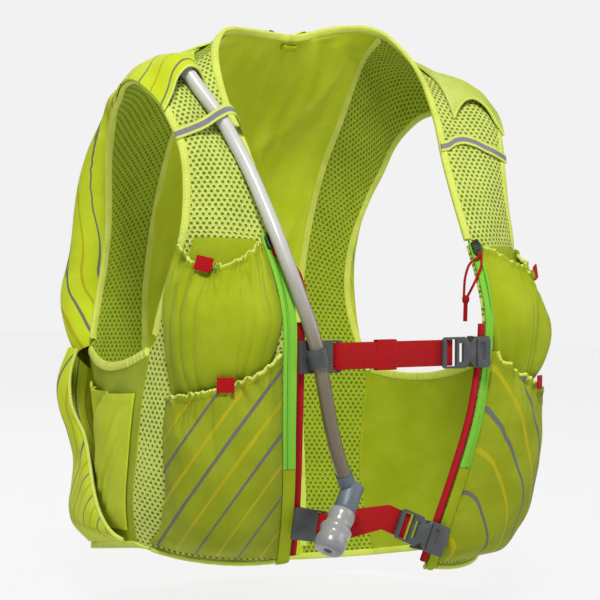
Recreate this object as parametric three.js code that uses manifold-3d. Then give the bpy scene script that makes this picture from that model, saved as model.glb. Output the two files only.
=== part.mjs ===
// Running hydration vest: a sleeveless carrier with front pockets, a back pouch,
// two chest straps on side rails and a drinking hose that leaves the right shoulder.
// Millimetres, +Z up. The wearer faces -Y and the wearer's right side is -X.
// The origin lies between the shoulders, on the height where the neckline meets them.

import * as THREE from "three";
import Module from "manifold-3d";

const wasm = await Module();
wasm.setup();

// Overall size of the garment
const HALF_WIDTH = 165;
const CHEST_DEPTH = 265;
const LENGTH = 430;

// Cloth, edges and clearances
const CLOTH = 2;
const POCKET_CLOTH = 1.4;
const FACING_CLOTH = 1.1;
const FACING_MARGIN = 5;
const BINDING_WIDTH = 6;
const BINDING_THICKNESS = 3;
const BINDING_OVERHANG = 0.5;
const CLEARANCE = 0.3;
const SEAM_HALF_WIDTH = 76;

// Pockets, pouches and covers
const UPPER_POCKET_DEPTH = 29;
const LOWER_POCKET_DEPTH = 28;
const SIDE_POCKET_DEPTH = 4;
const BACK_POUCH_DEPTH = 35;
const BACK_POUCH_SPREAD = 30;
const STRETCH_POUCH_DEPTH = 31;
const GATHER_DEPTH = 1.3;
const SHOULDER_COVER_RISE = 3.5;
const HOSE_ARCH_RISE = 13;
const COVER_CLEARANCE = 0.9;
const SIDE_ELASTIC_WIDTH = 7;
const KEEPER_WIDTH = 8.5;
const TAB_WIDTH = 13;
const TAB_LENGTH = 11;
const UPPER_TAB_LIFT = 3;
const LOWER_TAB_LIFT = 2.3;
const COLLAR_LOOP_WIDTH = 16;
const LOOP_SAG = 4;
const LOOP_HEIGHT = 5;
const LOOP_WALL = 1.2;
const HEM_HEIGHT = 3.5;

// Zips and rails on the front edges
const ZIP_TAPE_WIDTH = 11;
const RAIL_WIDTH = 6;
const RAIL_THICKNESS = 4.5;
const RAIL_INSIDE = 1;
const SLIDER_LENGTH = 13;
const SLIDER_WIDTH = 8;
const SLIDER_BODY = 2.6;
const BRIDGE_RISE = 1.8;
const RAIL_BACK = 0.7;

// Chest straps
const WEBBING_WIDTH = 20;
const WEBBING_THICKNESS = 1.8;
const PLATE_THICKNESS = 3;
const HARDWARE_HEIGHT = 24;
const UPPER_SLIDER_LENGTH = 34;
const LOWER_SLIDER_LENGTH = 24;
const SLIDER_SLOT = 4.5;
const SLIDER_BAR = 4.5;
const UPPER_TAIL_LENGTH = 31;
const LOWER_TAIL_LENGTH = 17;
const WEBBING_FOLD = 1.25;
const LOWER_BUCKLE_TILT = 0.24;
const BUCKLE_FRAME = 21.5;
const BUCKLE_ARMS = 10;
const BUCKLE_SOCKET = 14;
const HOOK_WALL = 2.3;
const KEEPER_SLEEVE = 18;
const SLEEVE_WALL = 1.2;
const CLIP_WALL = 2;
const CLIP_HEIGHT = 14;

// Drinking hose and its valve
const HOSE_DIAMETER = 11;
const ELBOW_DIAMETER = 17;
const ELBOW_LENGTH = 24;
const ELBOW_STEP = 3;
const NIPPLE_LENGTH = 9;
const VALVE_LENGTH = 34;
const VALVE_DIAMETER = 24;
const CORD_DIAMETER = 2;
const KNOT_DIAMETER = 6;
const KNOT_LENGTH = 6.5;
const TAIL_LENGTH = 14;

// The cloth follows a ribbon from the front hem over the shoulder to the back hem.
// Each row has its inner end (front edge, neckline, then middle of the back) and its
// outer end (side seam, armhole). x is a share of HALF_WIDTH, y of CHEST_DEPTH and z of
// LENGTH. bow and curl round the row outwards, as shares of HALF_WIDTH, ease flattens it
// at its inner end, and lift raises the wearer's right side, as a share of LENGTH.
const RIBBON_COLUMNS = [
  "innerX", "innerY", "innerZ", "outerX", "outerY", "outerZ", "bow", "curl", "ease", "lift",
];
const RIBBON = [
  [0.376, -0.268, -0.93, 0.958, -0.03, -0.912, 0.097, 0, 0, 0.016],
  [0.406, -0.313, -0.851, 1.006, -0.06, -0.837, 0.115, 0, 0, 0.009],
  [0.442, -0.355, -0.767, 1.018, -0.083, -0.763, 0.121, 0, 0, 0.005],
  [0.479, -0.392, -0.674, 1, -0.083, -0.674, 0.121, 0, 0, 0],
  [0.497, -0.411, -0.586, 0.97, -0.083, -0.591, 0.109, 0, 0, 0],
  [0.509, -0.415, -0.493, 0.964, -0.128, -0.493, 0.085, 0, 0, 0],
  [0.521, -0.37, -0.423, 0.952, -0.174, -0.423, 0.061, 0, 0, 0],
  [0.539, -0.298, -0.356, 0.927, -0.204, -0.349, 0.042, 0, 0, 0],
  [0.539, -0.234, -0.279, 0.909, -0.192, -0.279, 0.036, 0, 0, 0.005],
  [0.552, -0.158, -0.2, 0.915, -0.166, -0.209, 0.03, 0.006, 0, 0.005],
  [0.582, -0.075, -0.116, 0.958, -0.102, -0.135, 0.024, 0.018, 0, 0.002],
  [0.57, -0.004, -0.037, 1, -0.008, -0.091, 0.018, 0.03, 0, 0],
  [0.509, 0.049, 0.014, 0.985, 0.091, -0.09, 0.012, 0.036, 0, -0.005],
  [0.412, 0.102, 0.044, 0.942, 0.181, -0.106, 0.006, 0.036, 0.2, -0.014],
  [0.242, 0.151, 0.047, 0.897, 0.272, -0.119, 0.006, 0.024, 0.5, -0.014],
  [0, 0.174, 0.036, 0.848, 0.355, -0.156, 0.006, 0.012, 1, -0.005],
  [0, 0.294, -0.06, 0.818, 0.411, -0.209, 0, 0, 1, 0.005],
  [0, 0.408, -0.153, 0.782, 0.453, -0.263, 0, 0, 1, 0.005],
  [0, 0.498, -0.256, 0.745, 0.491, -0.337, 0, 0, 1, 0.005],
  [0, 0.555, -0.367, 0.739, 0.517, -0.414, 0, 0, 1, 0.005],
  [0, 0.585, -0.477, 0.764, 0.521, -0.486, 0, 0, 1, 0.009],
  [0, 0.592, -0.581, 0.818, 0.479, -0.581, 0, 0, 1, 0.021],
  [0, 0.577, -0.686, 0.788, 0.464, -0.684, 0, 0, 1, 0.019],
  [0, 0.551, -0.802, 0.764, 0.449, -0.802, 0, 0, 1, 0.019],
  [0, 0.521, -0.972, 0.824, 0.415, -0.958, 0, 0, 1, 0.023],
];

// Places along the ribbon, in rows of the table above
const LAST_ROW = RIBBON.length - 1;
const ZIP_END_ROW = 2.15;
const SIDE_TOP_FRONT_ROW = 4.45;
const RAIL_TOP_ROW = 4.95;
const ZIP_TOP_ROW = 7;
const SLIDER_ROW = 6.8;
const KEEPER_ROW = 9.33;
const SHOULDER_SEAM_ROW = 11.5;
const COVER_BACK_ROW = 12.9;
const NECK_CORNER_ROW = 12.8;
const SEAM_START_ROW = 12.95;
const COLLAR_ROW = 15;
const SIDE_TOP_BACK_ROW = 21;
const UPPER_STRAP_RIGHT_ROW = 4.3;
const UPPER_STRAP_LEFT_ROW = 4.4;
const LOWER_STRAP_RIGHT_ROW = 0.9;
const LOWER_STRAP_LEFT_ROW = 0.57;

// Places as shares: the start of the cloth above the hem, and the tabs across the mouths
const HEM_START = 0.003;
const UPPER_TAB_SHARE = 0.6;
const LOWER_TAB_SHARE = 0.42;

const RIGHT = -1;
const LEFT = 1;
const SIDES = [[RIGHT, "right"], [LEFT, "left"]];

// Finishes of the materials
const LIME = { color: 0xb9d033, roughness: 0.85, metalness: 0 };
const LIME_MESH = { color: 0xcfe07a, roughness: 0.9, metalness: 0 };
const STRIPED = { color: 0xc4d65a, roughness: 0.8, metalness: 0 };
const EDGE_LIME = { color: 0xd4e46a, roughness: 0.8, metalness: 0 };
const ZIP_GREEN = { color: 0x86cf4e, roughness: 0.6, metalness: 0 };
const RAIL_RED = { color: 0x9e1226, roughness: 0.6, metalness: 0 };
const WEBBING_RED = { color: 0xd01c26, roughness: 0.8, metalness: 0 };
const REFLECTIVE = { color: 0x9a9aa6, roughness: 0.4, metalness: 0.3 };
const BUCKLE_GREY = { color: 0x46494c, roughness: 0.45, metalness: 0 };
const SLIDER_METAL = { color: 0x6a6c70, roughness: 0.35, metalness: 0.8 };
const HOSE_GREY = { color: 0xb4b0a4, roughness: 0.3, metalness: 0 };
const VALVE_CLEAR = { color: 0xd8d6d2, roughness: 0.35, metalness: 0 };

const { lerp, clamp, smoothstep } = THREE.MathUtils;
const vec = (x, y, z) => new THREE.Vector3(x, y, z);

// Value of a column at a place in a table whose rows are [place, value, ...]
function readTable(rows, place, column) {
  let i = 0;
  while (i < rows.length - 2 && place > rows[i + 1][0]) {
    i += 1;
  }
  const share = clamp((place - rows[i][0]) / (rows[i + 1][0] - rows[i][0]), 0, 1);
  return lerp(rows[i][column], rows[i + 1][column], share);
}

const RIBBON_UNITS = [
  HALF_WIDTH, CHEST_DEPTH, LENGTH, HALF_WIDTH, CHEST_DEPTH, LENGTH, HALF_WIDTH, HALF_WIDTH, 1, LENGTH,
];
const ribbonRows = RIBBON.map((row) => row.map((share, column) => share * RIBBON_UNITS[column]));
const continued = (end, next) => end.map((value, column) => 2 * value - next[column]);
const paddedRows = [
  continued(ribbonRows[0], ribbonRows[1]),
  ...ribbonRows,
  continued(ribbonRows[LAST_ROW], ribbonRows[LAST_ROW - 1]),
];

const INNER_COLUMNS = 3;
const [beforeCollar, collarRow, afterCollar] = ribbonRows.slice(COLLAR_ROW - 1, COLLAR_ROW + 2);
const acrossCollar = beforeCollar.map((value, column) => (column === 0 ? -value : value));
const aboveCollar = continued(collarRow, afterCollar);

// One row of the ribbon at any place between the rows of the table. The neckline runs
// across the middle of the collar without a kink, so its spline ends there on both sides.
function ribbonRow(row) {
  const place = clamp(row, 0, LAST_ROW);
  const i = Math.min(Math.floor(place), LAST_ROW - 1);
  const f = place - i;
  const [before, b, c, after] = paddedRows.slice(i, i + 4);
  const values = RIBBON_COLUMNS.map((name, k) => {
    const inner = k < INNER_COLUMNS;
    const a = (inner && i === COLLAR_ROW ? aboveCollar : before)[k];
    const d = (inner && i === COLLAR_ROW - 1 ? acrossCollar : after)[k];
    const slope = c[k] - a;
    const bend = 2 * a - 5 * b[k] + 4 * c[k] - d;
    const twist = 3 * b[k] - a - 3 * c[k] + d;
    return [name, 0.5 * (2 * b[k] + slope * f + bend * f * f + twist * f * f * f)];
  });
  const r = Object.fromEntries(values);
  r.inner = vec(r.innerX, r.innerY, r.innerZ);
  r.outer = vec(r.outerX, r.outerY, r.outerZ);
  return r;
}

// Inside face of the cloth on the left half, s from the inner end (0) to the outer end (1)
function ribbonFace(s, row) {
  const r = ribbonRow(row);
  const eased = s + r.ease * (s * s - s);
  const span = r.outer.clone().sub(r.inner);
  const point = vec(r.inner.x + span.x * s, r.inner.y + span.y * eased, r.inner.z + span.z * eased);
  const ahead = ribbonRow(row + 0.05);
  const behind = ribbonRow(row - 0.05);
  const along = ahead.inner.add(ahead.outer).sub(behind.inner).sub(behind.outer);
  const outward = span.cross(along).normalize();
  return point.addScaledVector(outward, r.bow * 4 * s * (1 - s) - r.curl * Math.sin(2 * Math.PI * s));
}

function ribbonNormal(s, row) {
  const across = ribbonFace(Math.min(s + 0.01, 1), row).sub(ribbonFace(Math.max(s - 0.01, 0), row));
  const along = ribbonFace(s, row + 0.05).sub(ribbonFace(s, row - 0.05));
  return across.cross(along).normalize();
}

// Mirrors a point of the left half to its side and adds the small lift of the right side
function settle(side, point, lift) {
  const x = point.x * side;
  return vec(x, point.y, point.z - (lift * x) / Math.hypot(x, 0.25 * HALF_WIDTH));
}

function onRibbon(side, s, row, height = 0) {
  const point = ribbonFace(s, row).addScaledVector(ribbonNormal(s, row), height);
  return settle(side, point, ribbonRow(row).lift);
}

function outwardOnRibbon(side, s, row) {
  const normal = ribbonNormal(s, row);
  return vec(normal.x * side, normal.y, normal.z);
}

const rowWidth = (row) => ribbonRow(row).inner.distanceTo(ribbonRow(row).outer);

// Share of a row that lies a given distance inside the edge at its end s = 0 or s = 1
function insetShare(end, row, distance) {
  const step = 0.02;
  const inside = end + (end === 0 ? step : -step);
  const across = ribbonFace(inside, row).sub(ribbonFace(end, row)).divideScalar(step);
  const along = ribbonFace(end, row + 0.1).sub(ribbonFace(end, row - 0.1)).normalize();
  return distance / across.cross(along).length();
}

const rowPitch = (row) => ribbonFace(0.5, row + 0.5).distanceTo(ribbonFace(0.5, row - 0.5));

// The side panel fills the gap between the outer ends of the front and back rows below the
// armhole, s from the front seam (0) to the back seam (1), v from the hem (0) to the top (1).
const SIDE_DIP = 0.033;
const SIDE_BOW = 0.036;
const sideFrontRow = (v) => SIDE_TOP_FRONT_ROW * v;
const sideBackRow = (v) => LAST_ROW - (LAST_ROW - SIDE_TOP_BACK_ROW) * v;

function sideFace(s, v) {
  const front = ribbonRow(sideFrontRow(v)).outer;
  const back = ribbonRow(sideBackRow(v)).outer;
  const across = back.clone().sub(front);
  const outward = across.clone().cross(vec(0, 0, 1)).normalize();
  const swell = 4 * s * (1 - s);
  const point = front.addScaledVector(across, s).addScaledVector(outward, SIDE_BOW * HALF_WIDTH * swell);
  point.z -= SIDE_DIP * LENGTH * swell * v ** 4;
  return point;
}

function sideNormal(s, v) {
  const across = sideFace(Math.min(s + 0.02, 1), v).sub(sideFace(Math.max(s - 0.02, 0), v));
  const upward = sideFace(s, Math.min(v + 0.02, 1)).sub(sideFace(s, Math.max(v - 0.02, 0)));
  return across.cross(upward).normalize();
}

function sideLift(s, v) {
  return lerp(ribbonRow(sideFrontRow(v)).lift, ribbonRow(sideBackRow(v)).lift, s);
}

function onSide(side, s, v, height = 0) {
  const point = sideFace(s, v).addScaledVector(sideNormal(s, v), height);
  return settle(side, point, sideLift(s, v));
}

const sideWidth = (v) => sideFace(0, v).distanceTo(sideFace(1, v));
const sideHeight = sideFace(0, 0).distanceTo(sideFace(0, 1));

// The lower back and the side in one stretch: q runs from the middle of the back (0) past
// the back seam (1) to the front seam (2), and v from the hem to the top of the side.
function onLowerWrap(side, q, v, height) {
  const blend = smoothstep(q, 0.7, 1.3);
  const backRow = sideBackRow(v);
  const normal = ribbonNormal(Math.min(q, 1), backRow).multiplyScalar(1 - blend);
  normal.addScaledVector(sideNormal(clamp(2 - q, 0, 1), v), blend).normalize();
  const point = q <= 1 ? ribbonFace(q, backRow) : sideFace(2 - q, v);
  const lift = q <= 1 ? ribbonRow(backRow).lift : sideLift(2 - q, v);
  return settle(side, point.addScaledVector(normal, height), lift);
}

// Signed volume of a closed triangle mesh, positive when its faces point out
function signedVolume(points, triangles) {
  return triangles.reduce((sum, [a, b, c]) => sum + points[a].dot(points[b].clone().cross(points[c])) / 6, 0);
}

function closedGeometry(points, triangles) {
  const inward = signedVolume(points, triangles) < 0;
  const geometry = new THREE.BufferGeometry();
  geometry.setFromPoints(points);
  geometry.setIndex(triangles.flatMap(([a, b, c]) => (inward ? [a, c, b] : [a, b, c])));
  geometry.computeVertexNormals();
  return geometry;
}

// A wall of cloth over a grid of places. at(u, v, height) gives a point, and under and over
// give the heights of the two faces at each place.
function clothWall(us, vs, at, under, over) {
  const points = [];
  const triangles = [];
  const count = us.length * vs.length;
  const index = (layer, i, j) => layer * count + j * us.length + i;
  const quad = (a, b, c, d) => triangles.push([a, b, c], [a, c, d]);
  for (const heightAt of [under, over]) {
    vs.forEach((v, j) => us.forEach((u, i) => points.push(at(u, v, heightAt(u, v, i, j), i, j))));
  }
  for (let j = 0; j < vs.length - 1; j += 1) {
    for (let i = 0; i < us.length - 1; i += 1) {
      const under4 = [index(0, i, j), index(0, i, j + 1), index(0, i + 1, j + 1), index(0, i + 1, j)];
      const [a, b, c, d] = under4.map((k) => points[k]);
      if (a.distanceTo(c) > b.distanceTo(d)) {
        under4.push(under4.shift());
      }
      quad(...under4);
      quad(...under4.map((k) => k + count).reverse());
    }
  }
  const lastU = us.length - 1;
  const lastV = vs.length - 1;
  for (let i = 0; i < lastU; i += 1) {
    quad(index(0, i, 0), index(0, i + 1, 0), index(1, i + 1, 0), index(1, i, 0));
    quad(index(0, i + 1, lastV), index(0, i, lastV), index(1, i, lastV), index(1, i + 1, lastV));
  }
  for (let j = 0; j < lastV; j += 1) {
    quad(index(0, 0, j + 1), index(0, 0, j), index(1, 0, j), index(1, 0, j + 1));
    quad(index(0, lastU, j), index(0, lastU, j + 1), index(1, lastU, j + 1), index(1, lastU, j));
  }
  return closedGeometry(points, triangles);
}

const steps = (from, to, count) => Array.from({ length: count + 1 }, (_, i) => lerp(from, to, i / count));

// A bar along a path. Each frame has a point and two directions, and the section is a convex
// outline in those directions.
function sweptBar(frames, section) {
  const points = [];
  const triangles = [];
  const sides = section.length;
  for (const frame of frames) {
    for (const [out, up] of section) {
      const scaled = out * (frame.widen ?? 1);
      points.push(frame.at.clone().addScaledVector(frame.out, scaled).addScaledVector(frame.up, up));
    }
  }
  for (let k = 0; k < frames.length - 1; k += 1) {
    for (let i = 0; i < sides; i += 1) {
      const a = k * sides + i;
      const b = k * sides + ((i + 1) % sides);
      triangles.push([a, b, b + sides], [a, b + sides, a + sides]);
    }
  }
  const last = (frames.length - 1) * sides;
  for (let i = 1; i < sides - 1; i += 1) {
    triangles.push([0, i + 1, i], [last, last + i, last + i + 1]);
  }
  return closedGeometry(points, triangles);
}

const rectangle = (left, right, low, high) => [[left, low], [right, low], [right, high], [left, high]];

// Frames along an edge of the cloth. place gives a point on the edge, normalAt its outward
// direction, and inside a point in the cloth, which says which way is out of the edge.
function edgeFrames(stations, place, normalAt, inside) {
  return stations.map((station, i) => {
    const ahead = place(stations[Math.min(i + 1, stations.length - 1)]);
    const behind = place(stations[Math.max(i - 1, 0)]);
    const along = ahead.sub(behind).normalize();
    const at = place(station);
    const up = normalAt(station);
    const out = along.cross(up).normalize();
    if (out.dot(inside(station).sub(at)) > 0) {
      out.negate();
    }
    return { at, out, up: up.clone().addScaledVector(out, -up.dot(out)).normalize() };
  });
}

function ribbonEdgeFrames(side, s, rows) {
  const inward = s < 0.5 ? 0.1 : -0.1;
  return edgeFrames(
    rows,
    (row) => onRibbon(side, s, row),
    (row) => outwardOnRibbon(side, s, row),
    (row) => onRibbon(side, s + inward, row),
  );
}

function toManifold(geometry) {
  const index = geometry.index ? geometry.index.array : null;
  const position = geometry.attributes.position;
  const seen = new Map();
  const vertices = [];
  const triangles = [];
  const total = index ? index.length : position.count;
  for (let i = 0; i < total; i += 1) {
    const k = index ? index[i] : i;
    const p = [position.getX(k), position.getY(k), position.getZ(k)];
    const key = p.map((value) => Math.round(value * 1e5)).join(",");
    if (!seen.has(key)) {
      seen.set(key, vertices.length / 3);
      vertices.push(...p);
    }
    triangles.push(seen.get(key));
  }
  const mesh = {
    numProp: 3,
    vertProperties: new Float32Array(vertices),
    triVerts: new Uint32Array(triangles),
  };
  return new wasm.Manifold(new wasm.Mesh(mesh));
}

// Joins pieces of one moulding into a single solid
function joined(geometries) {
  const mesh = geometries.map(toManifold).reduce((whole, piece) => whole.add(piece)).getMesh();
  const geometry = new THREE.BufferGeometry();
  geometry.setAttribute("position", new THREE.BufferAttribute(new Float32Array(mesh.vertProperties), 3));
  geometry.setIndex(Array.from(mesh.triVerts));
  geometry.computeVertexNormals();
  return geometry;
}

// A flat outline in x and z given a thickness in y, from y = front to y = back
function plate(outline, holes, front, back) {
  const shape = new THREE.Shape(outline.map(([x, z]) => new THREE.Vector2(x, z)));
  shape.holes = holes.map((hole) => new THREE.Path(hole.map(([x, z]) => new THREE.Vector2(x, z))));
  const geometry = new THREE.ExtrudeGeometry(shape, { depth: back - front, bevelEnabled: false });
  return geometry.rotateX(Math.PI / 2).translate(0, back, 0);
}

// An outline in x and y given a height in z, centred on z = 0
function prism(outline, height) {
  const shape = new THREE.Shape(outline.map(([x, y]) => new THREE.Vector2(x, y)));
  const geometry = new THREE.ExtrudeGeometry(shape, { depth: height, bevelEnabled: false });
  return geometry.translate(0, 0, -height / 2);
}

// Rectangle with cut corners
function cutRectangle(left, right, low, high, cut) {
  return [
    [left + cut, low], [right - cut, low], [right, low + cut], [right, high - cut],
    [right - cut, high], [left + cut, high], [left, high - cut], [left, low + cut],
  ];
}

// A round cord or hose along a spline
function roundTube(points, diameter, sides, stations) {
  const section = new THREE.Shape(
    steps(0, 1, sides).slice(0, sides).map((turn) => {
      const angle = 2 * Math.PI * turn;
      return new THREE.Vector2((Math.cos(angle) * diameter) / 2, (Math.sin(angle) * diameter) / 2);
    }),
  );
  const path = new THREE.CatmullRomCurve3(points, false, "centripetal");
  return new THREE.ExtrudeGeometry(section, { extrudePath: path, steps: stations, bevelEnabled: false });
}

const vest = new THREE.Group();

function addPiece(parent, name, geometry, finish) {
  const mesh = new THREE.Mesh(geometry, new THREE.MeshStandardMaterial(finish));
  mesh.name = name;
  parent.add(mesh);
  return mesh;
}

const constant = (value) => () => value;
const seatOnPanel = CLOTH + CLEARANCE;
const seatOnBinding = BINDING_THICKNESS - BINDING_OVERHANG + CLEARANCE;
const coverSeat = CLOTH + COVER_CLEARANCE;
const tapeSeat = coverSeat + CLEARANCE;
const boundInset = BINDING_WIDTH + 2 * CLEARANCE;
const plainInset = 2 * CLEARANCE;
const railInset = RAIL_INSIDE + CLEARANCE;
const tapeInset = railInset + ZIP_TAPE_WIDTH - RAIL_INSIDE + CLEARANCE;

// Rows of the grids. Pieces that lie on each other or side by side share them.
const FRONT_ROWS = [0, 0.9, 1.9, 2.9, 3.7, 4.35, 4.6, 5.4, 6, 6.45, 6.85, 7.05, 8, 9, 9.7, 10.2, 10.6, 11];
const BACK_TURNS = [0, 0.05, 0.13, 0.21, 0.3, 0.4, 0.5, 0.6, 0.66, 0.7, 0.8, 0.9, 1];
const rowsBetween = (from, to) => [from, ...FRONT_ROWS.filter((row) => row > from && row < to), to];
const seamGap = CLEARANCE / rowPitch(SHOULDER_SEAM_ROW);

// Front panels of spacer mesh, from the hem to the shoulder seam
function frontPanel(side) {
  const at = (u, row, height) => {
    const inner = insetShare(0, row, row < ZIP_TOP_ROW ? railInset : boundInset);
    const outer = insetShare(1, row, row < SIDE_TOP_FRONT_ROW ? plainInset : boundInset);
    return onRibbon(side, lerp(inner, 1 - outer, u), row, height);
  };
  const rows = [...FRONT_ROWS, SHOULDER_SEAM_ROW - seamGap];
  return clothWall(steps(0, 1, 6), rows, at, constant(0), constant(CLOTH));
}

// Seam between the smooth middle of the back and the mesh at its sides
function backSeam(row) {
  const r = ribbonRow(row);
  return clamp((SEAM_HALF_WIDTH - r.innerX) / (r.outerX - r.innerX), 0, 1);
}

// The rows of the middle panel start level and slant up to the back seam near the collar
const middleRow = (turn) => lerp(COLLAR_ROW, LAST_ROW, turn);
const seamRow = (turn) => middleRow(turn) - (COLLAR_ROW - SEAM_START_ROW) * (1 - turn) ** 3;

// Frames along the neckline from one corner of the collar to the other
const COLLAR_STATIONS = 6;
const collarFrames = edgeFrames(
  steps(-1, 1, 2 * COLLAR_STATIONS),
  (turn) => onRibbon(Math.sign(turn) || LEFT, 0, lerp(COLLAR_ROW, NECK_CORNER_ROW, Math.abs(turn))),
  (turn) => outwardOnRibbon(Math.sign(turn) || LEFT, 0, lerp(COLLAR_ROW, NECK_CORNER_ROW, Math.abs(turn))),
  (turn) => onRibbon(Math.sign(turn) || LEFT, 0.1 * Math.abs(turn), COLLAR_ROW + 1),
);
const collarFrame = collarFrames[COLLAR_STATIONS];

function backCentrePanel() {
  const at = (u, turn, height, i) => {
    if (turn === 0) {
      const frame = collarFrames[i];
      return frame.at.clone().addScaledVector(frame.out, -boundInset).addScaledVector(frame.up, height);
    }
    const side = u < 0 ? RIGHT : LEFT;
    const edge = backSeam(seamRow(turn)) - CLEARANCE / rowWidth(seamRow(turn));
    const row = lerp(middleRow(turn), seamRow(turn), Math.abs(u));
    return onRibbon(side, edge * Math.abs(u), row, height);
  };
  return clothWall(steps(-1, 1, 2 * COLLAR_STATIONS), BACK_TURNS, at, constant(0), constant(CLOTH));
}

// Mesh at the side of the back, from the shoulder seam to the hem
function backFlank(side) {
  const rows = [SHOULDER_SEAM_ROW + seamGap, 12, 12.5, ...BACK_TURNS.map(seamRow)];
  const at = (u, row, height) => {
    const onSeam = backSeam(row) + CLEARANCE / rowWidth(row);
    const bound = insetShare(0, row, boundInset + 2 * CLEARANCE);
    const inner = row < SEAM_START_ROW ? bound : Math.max(1.5 * bound, onSeam);
    const outer = insetShare(1, row, row < SIDE_TOP_BACK_ROW ? boundInset + CLEARANCE : plainInset);
    return onRibbon(side, lerp(inner, 1 - outer, u), row, height);
  };
  return clothWall(steps(0, 1, 5), rows, at, constant(0), constant(CLOTH));
}

// Top of the cloth of the side panel, below its elastic
function sideTop(s, inset) {
  const dipped = SIDE_DIP * LENGTH * 4 * s * (1 - s);
  return 1 - inset / (sideHeight - 4 * dipped);
}

function sidePanel(side) {
  const at = (u, v, height) => {
    const inset = (2 * CLEARANCE) / sideWidth(v);
    const top = sideTop(u, 1.3 * SIDE_ELASTIC_WIDTH + 3 * CLEARANCE);
    return onSide(side, lerp(inset, 1 - inset, u), lerp(HEM_START, top, v), height);
  };
  const rows = FRONT_ROWS.filter((row) => row < SIDE_TOP_FRONT_ROW - 0.5);
  const vs = [...rows.map((row) => row / SIDE_TOP_FRONT_ROW), 1];
  return clothWall(steps(0, 1, 10), vs, at, constant(0), constant(CLOTH));
}

// Edge bindings: bars that end the cloth at the neckline, the armholes, the sides and the hem
function edgeBinding(frames, width) {
  const low = -BINDING_OVERHANG;
  return sweptBar(frames, rectangle(-width, 0, low, BINDING_THICKNESS + low));
}

function neckBinding() {
  const rows = rowsBetween(ZIP_TOP_ROW + 0.12, SHOULDER_SEAM_ROW);
  const strap = [...rows, 12, 12.5];
  const right = ribbonEdgeFrames(RIGHT, 0, strap);
  const left = ribbonEdgeFrames(LEFT, 0, strap).reverse();
  return edgeBinding([...right, ...collarFrames, ...left], BINDING_WIDTH);
}

function armholeBinding(side) {
  const front = rowsBetween(SIDE_TOP_FRONT_ROW + 0.2, SHOULDER_SEAM_ROW);
  const backRows = BACK_TURNS.map(seamRow).filter((row) => row < SIDE_TOP_BACK_ROW - 0.1);
  return edgeBinding(ribbonEdgeFrames(side, 1, [...front, 12, 12.5, ...backRows]), BINDING_WIDTH);
}

function sideElastic(side) {
  const inset = (0.6 * SIDE_ELASTIC_WIDTH) / sideWidth(1);
  const frames = edgeFrames(
    steps(inset, 1 - inset, 10),
    (s) => onSide(side, s, 1),
    (s) => onSide(side, s, 1, 1).sub(onSide(side, s, 1)),
    (s) => onSide(side, s, 0.9),
  );
  return edgeBinding(frames, SIDE_ELASTIC_WIDTH);
}

// The hem binding runs below the cloth, round the front corner, the side and the back
function hemStation(station) {
  const side = station < 0 ? RIGHT : LEFT;
  const q = Math.abs(station);
  if (q <= 1) {
    return { at: onRibbon(side, q, LAST_ROW), up: outwardOnRibbon(side, q, LAST_ROW) };
  }
  if (q < 2) {
    return { at: onSide(side, 2 - q, 0), up: onSide(side, 2 - q, 0, 1).sub(onSide(side, 2 - q, 0)) };
  }
  return { at: onRibbon(side, 3 - q, 0), up: outwardOnRibbon(side, 3 - q, 0) };
}

function hemBinding() {
  const half = [1 / 6, 1 / 3, 0.5, 0.75, 0.93, 1.07, 1.3, 1.6, 1.9, 2.1, 2.35, 2.6, 2.85, 2.97];
  const stations = [...half.map((q) => -q).reverse(), 0, ...half];
  const drop = HEM_HEIGHT + 2 * CLEARANCE;
  const frames = edgeFrames(
    stations,
    (station) => hemStation(station).at,
    (station) => hemStation(station).up,
    (station) => hemStation(station).at.add(vec(0, 0, 1)),
  );
  return sweptBar(frames, rectangle(2 * CLEARANCE, drop, -BINDING_OVERHANG, BINDING_THICKNESS));
}

// Pocket fronts: walls of cloth that swell away from the panel behind them and stay open at
// the mouth. Columns are the share of the height, the ribbon row at the inner and at the
// outer end, the outer end across the ribbon, the shift of the inner end as a share of
// HALF_WIDTH, and the share of the pocket's depth.
const UPPER_POCKET = [
  [0, 3.25, 3.2, 0.74, 0.06, 0],
  [0.12, 3.6, 3.5, 0.76, 0.06, 0.42],
  [0.3, 4.2, 4, 0.8, 0.05, 0.8],
  [0.5, 4.95, 4.75, 0.89, 0, 1],
  [0.7, 5.6, 5.5, 0.965, 0, 0.9],
  [0.86, 6.25, 6.15, 0.985, 0, 0.7],
  [1, 6.85, 6.75, 0.985, 0, 0.56],
];
const LOWER_POCKET = [
  [0, 0.12, 0.18, 0.9, 0, 0],
  [0.12, 0.5, 0.6, 0.82, 0, 0.55],
  [0.28, 1.15, 1.15, 0.79, 0, 0.86],
  [0.45, 2, 1.75, 0.775, 0, 1],
  [0.62, 2.8, 2.3, 0.79, 0, 1],
  [0.8, 3.6, 2.9, 0.8, 0, 0.94],
  [0.91, 4.1, 3.2, 0.79, 0, 0.88],
  [1, 4.4, 3.44, 0.78, 0, 0.82],
];
const UPPER_RIM = { sag: 0.72, curve: 1 };
const LOWER_RIM = { sag: 0, curve: 2 };
const GATHERS = 9;

const pocketSwell = (u) => Math.sin(Math.PI * u) ** 0.75;

function pocketPlace(table, rim, u, v) {
  const outerRow = readTable(table, v, 2);
  const row = lerp(outerRow, readTable(table, v, 1), (1 - u) ** rim.curve);
  const sagged = row - rim.sag * Math.sin(Math.PI * u) * v ** 3;
  const inner = insetShare(0, sagged, tapeInset + CLEARANCE + readTable(table, v, 4) * HALF_WIDTH);
  return [lerp(inner, readTable(table, v, 3), u), sagged];
}

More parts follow.
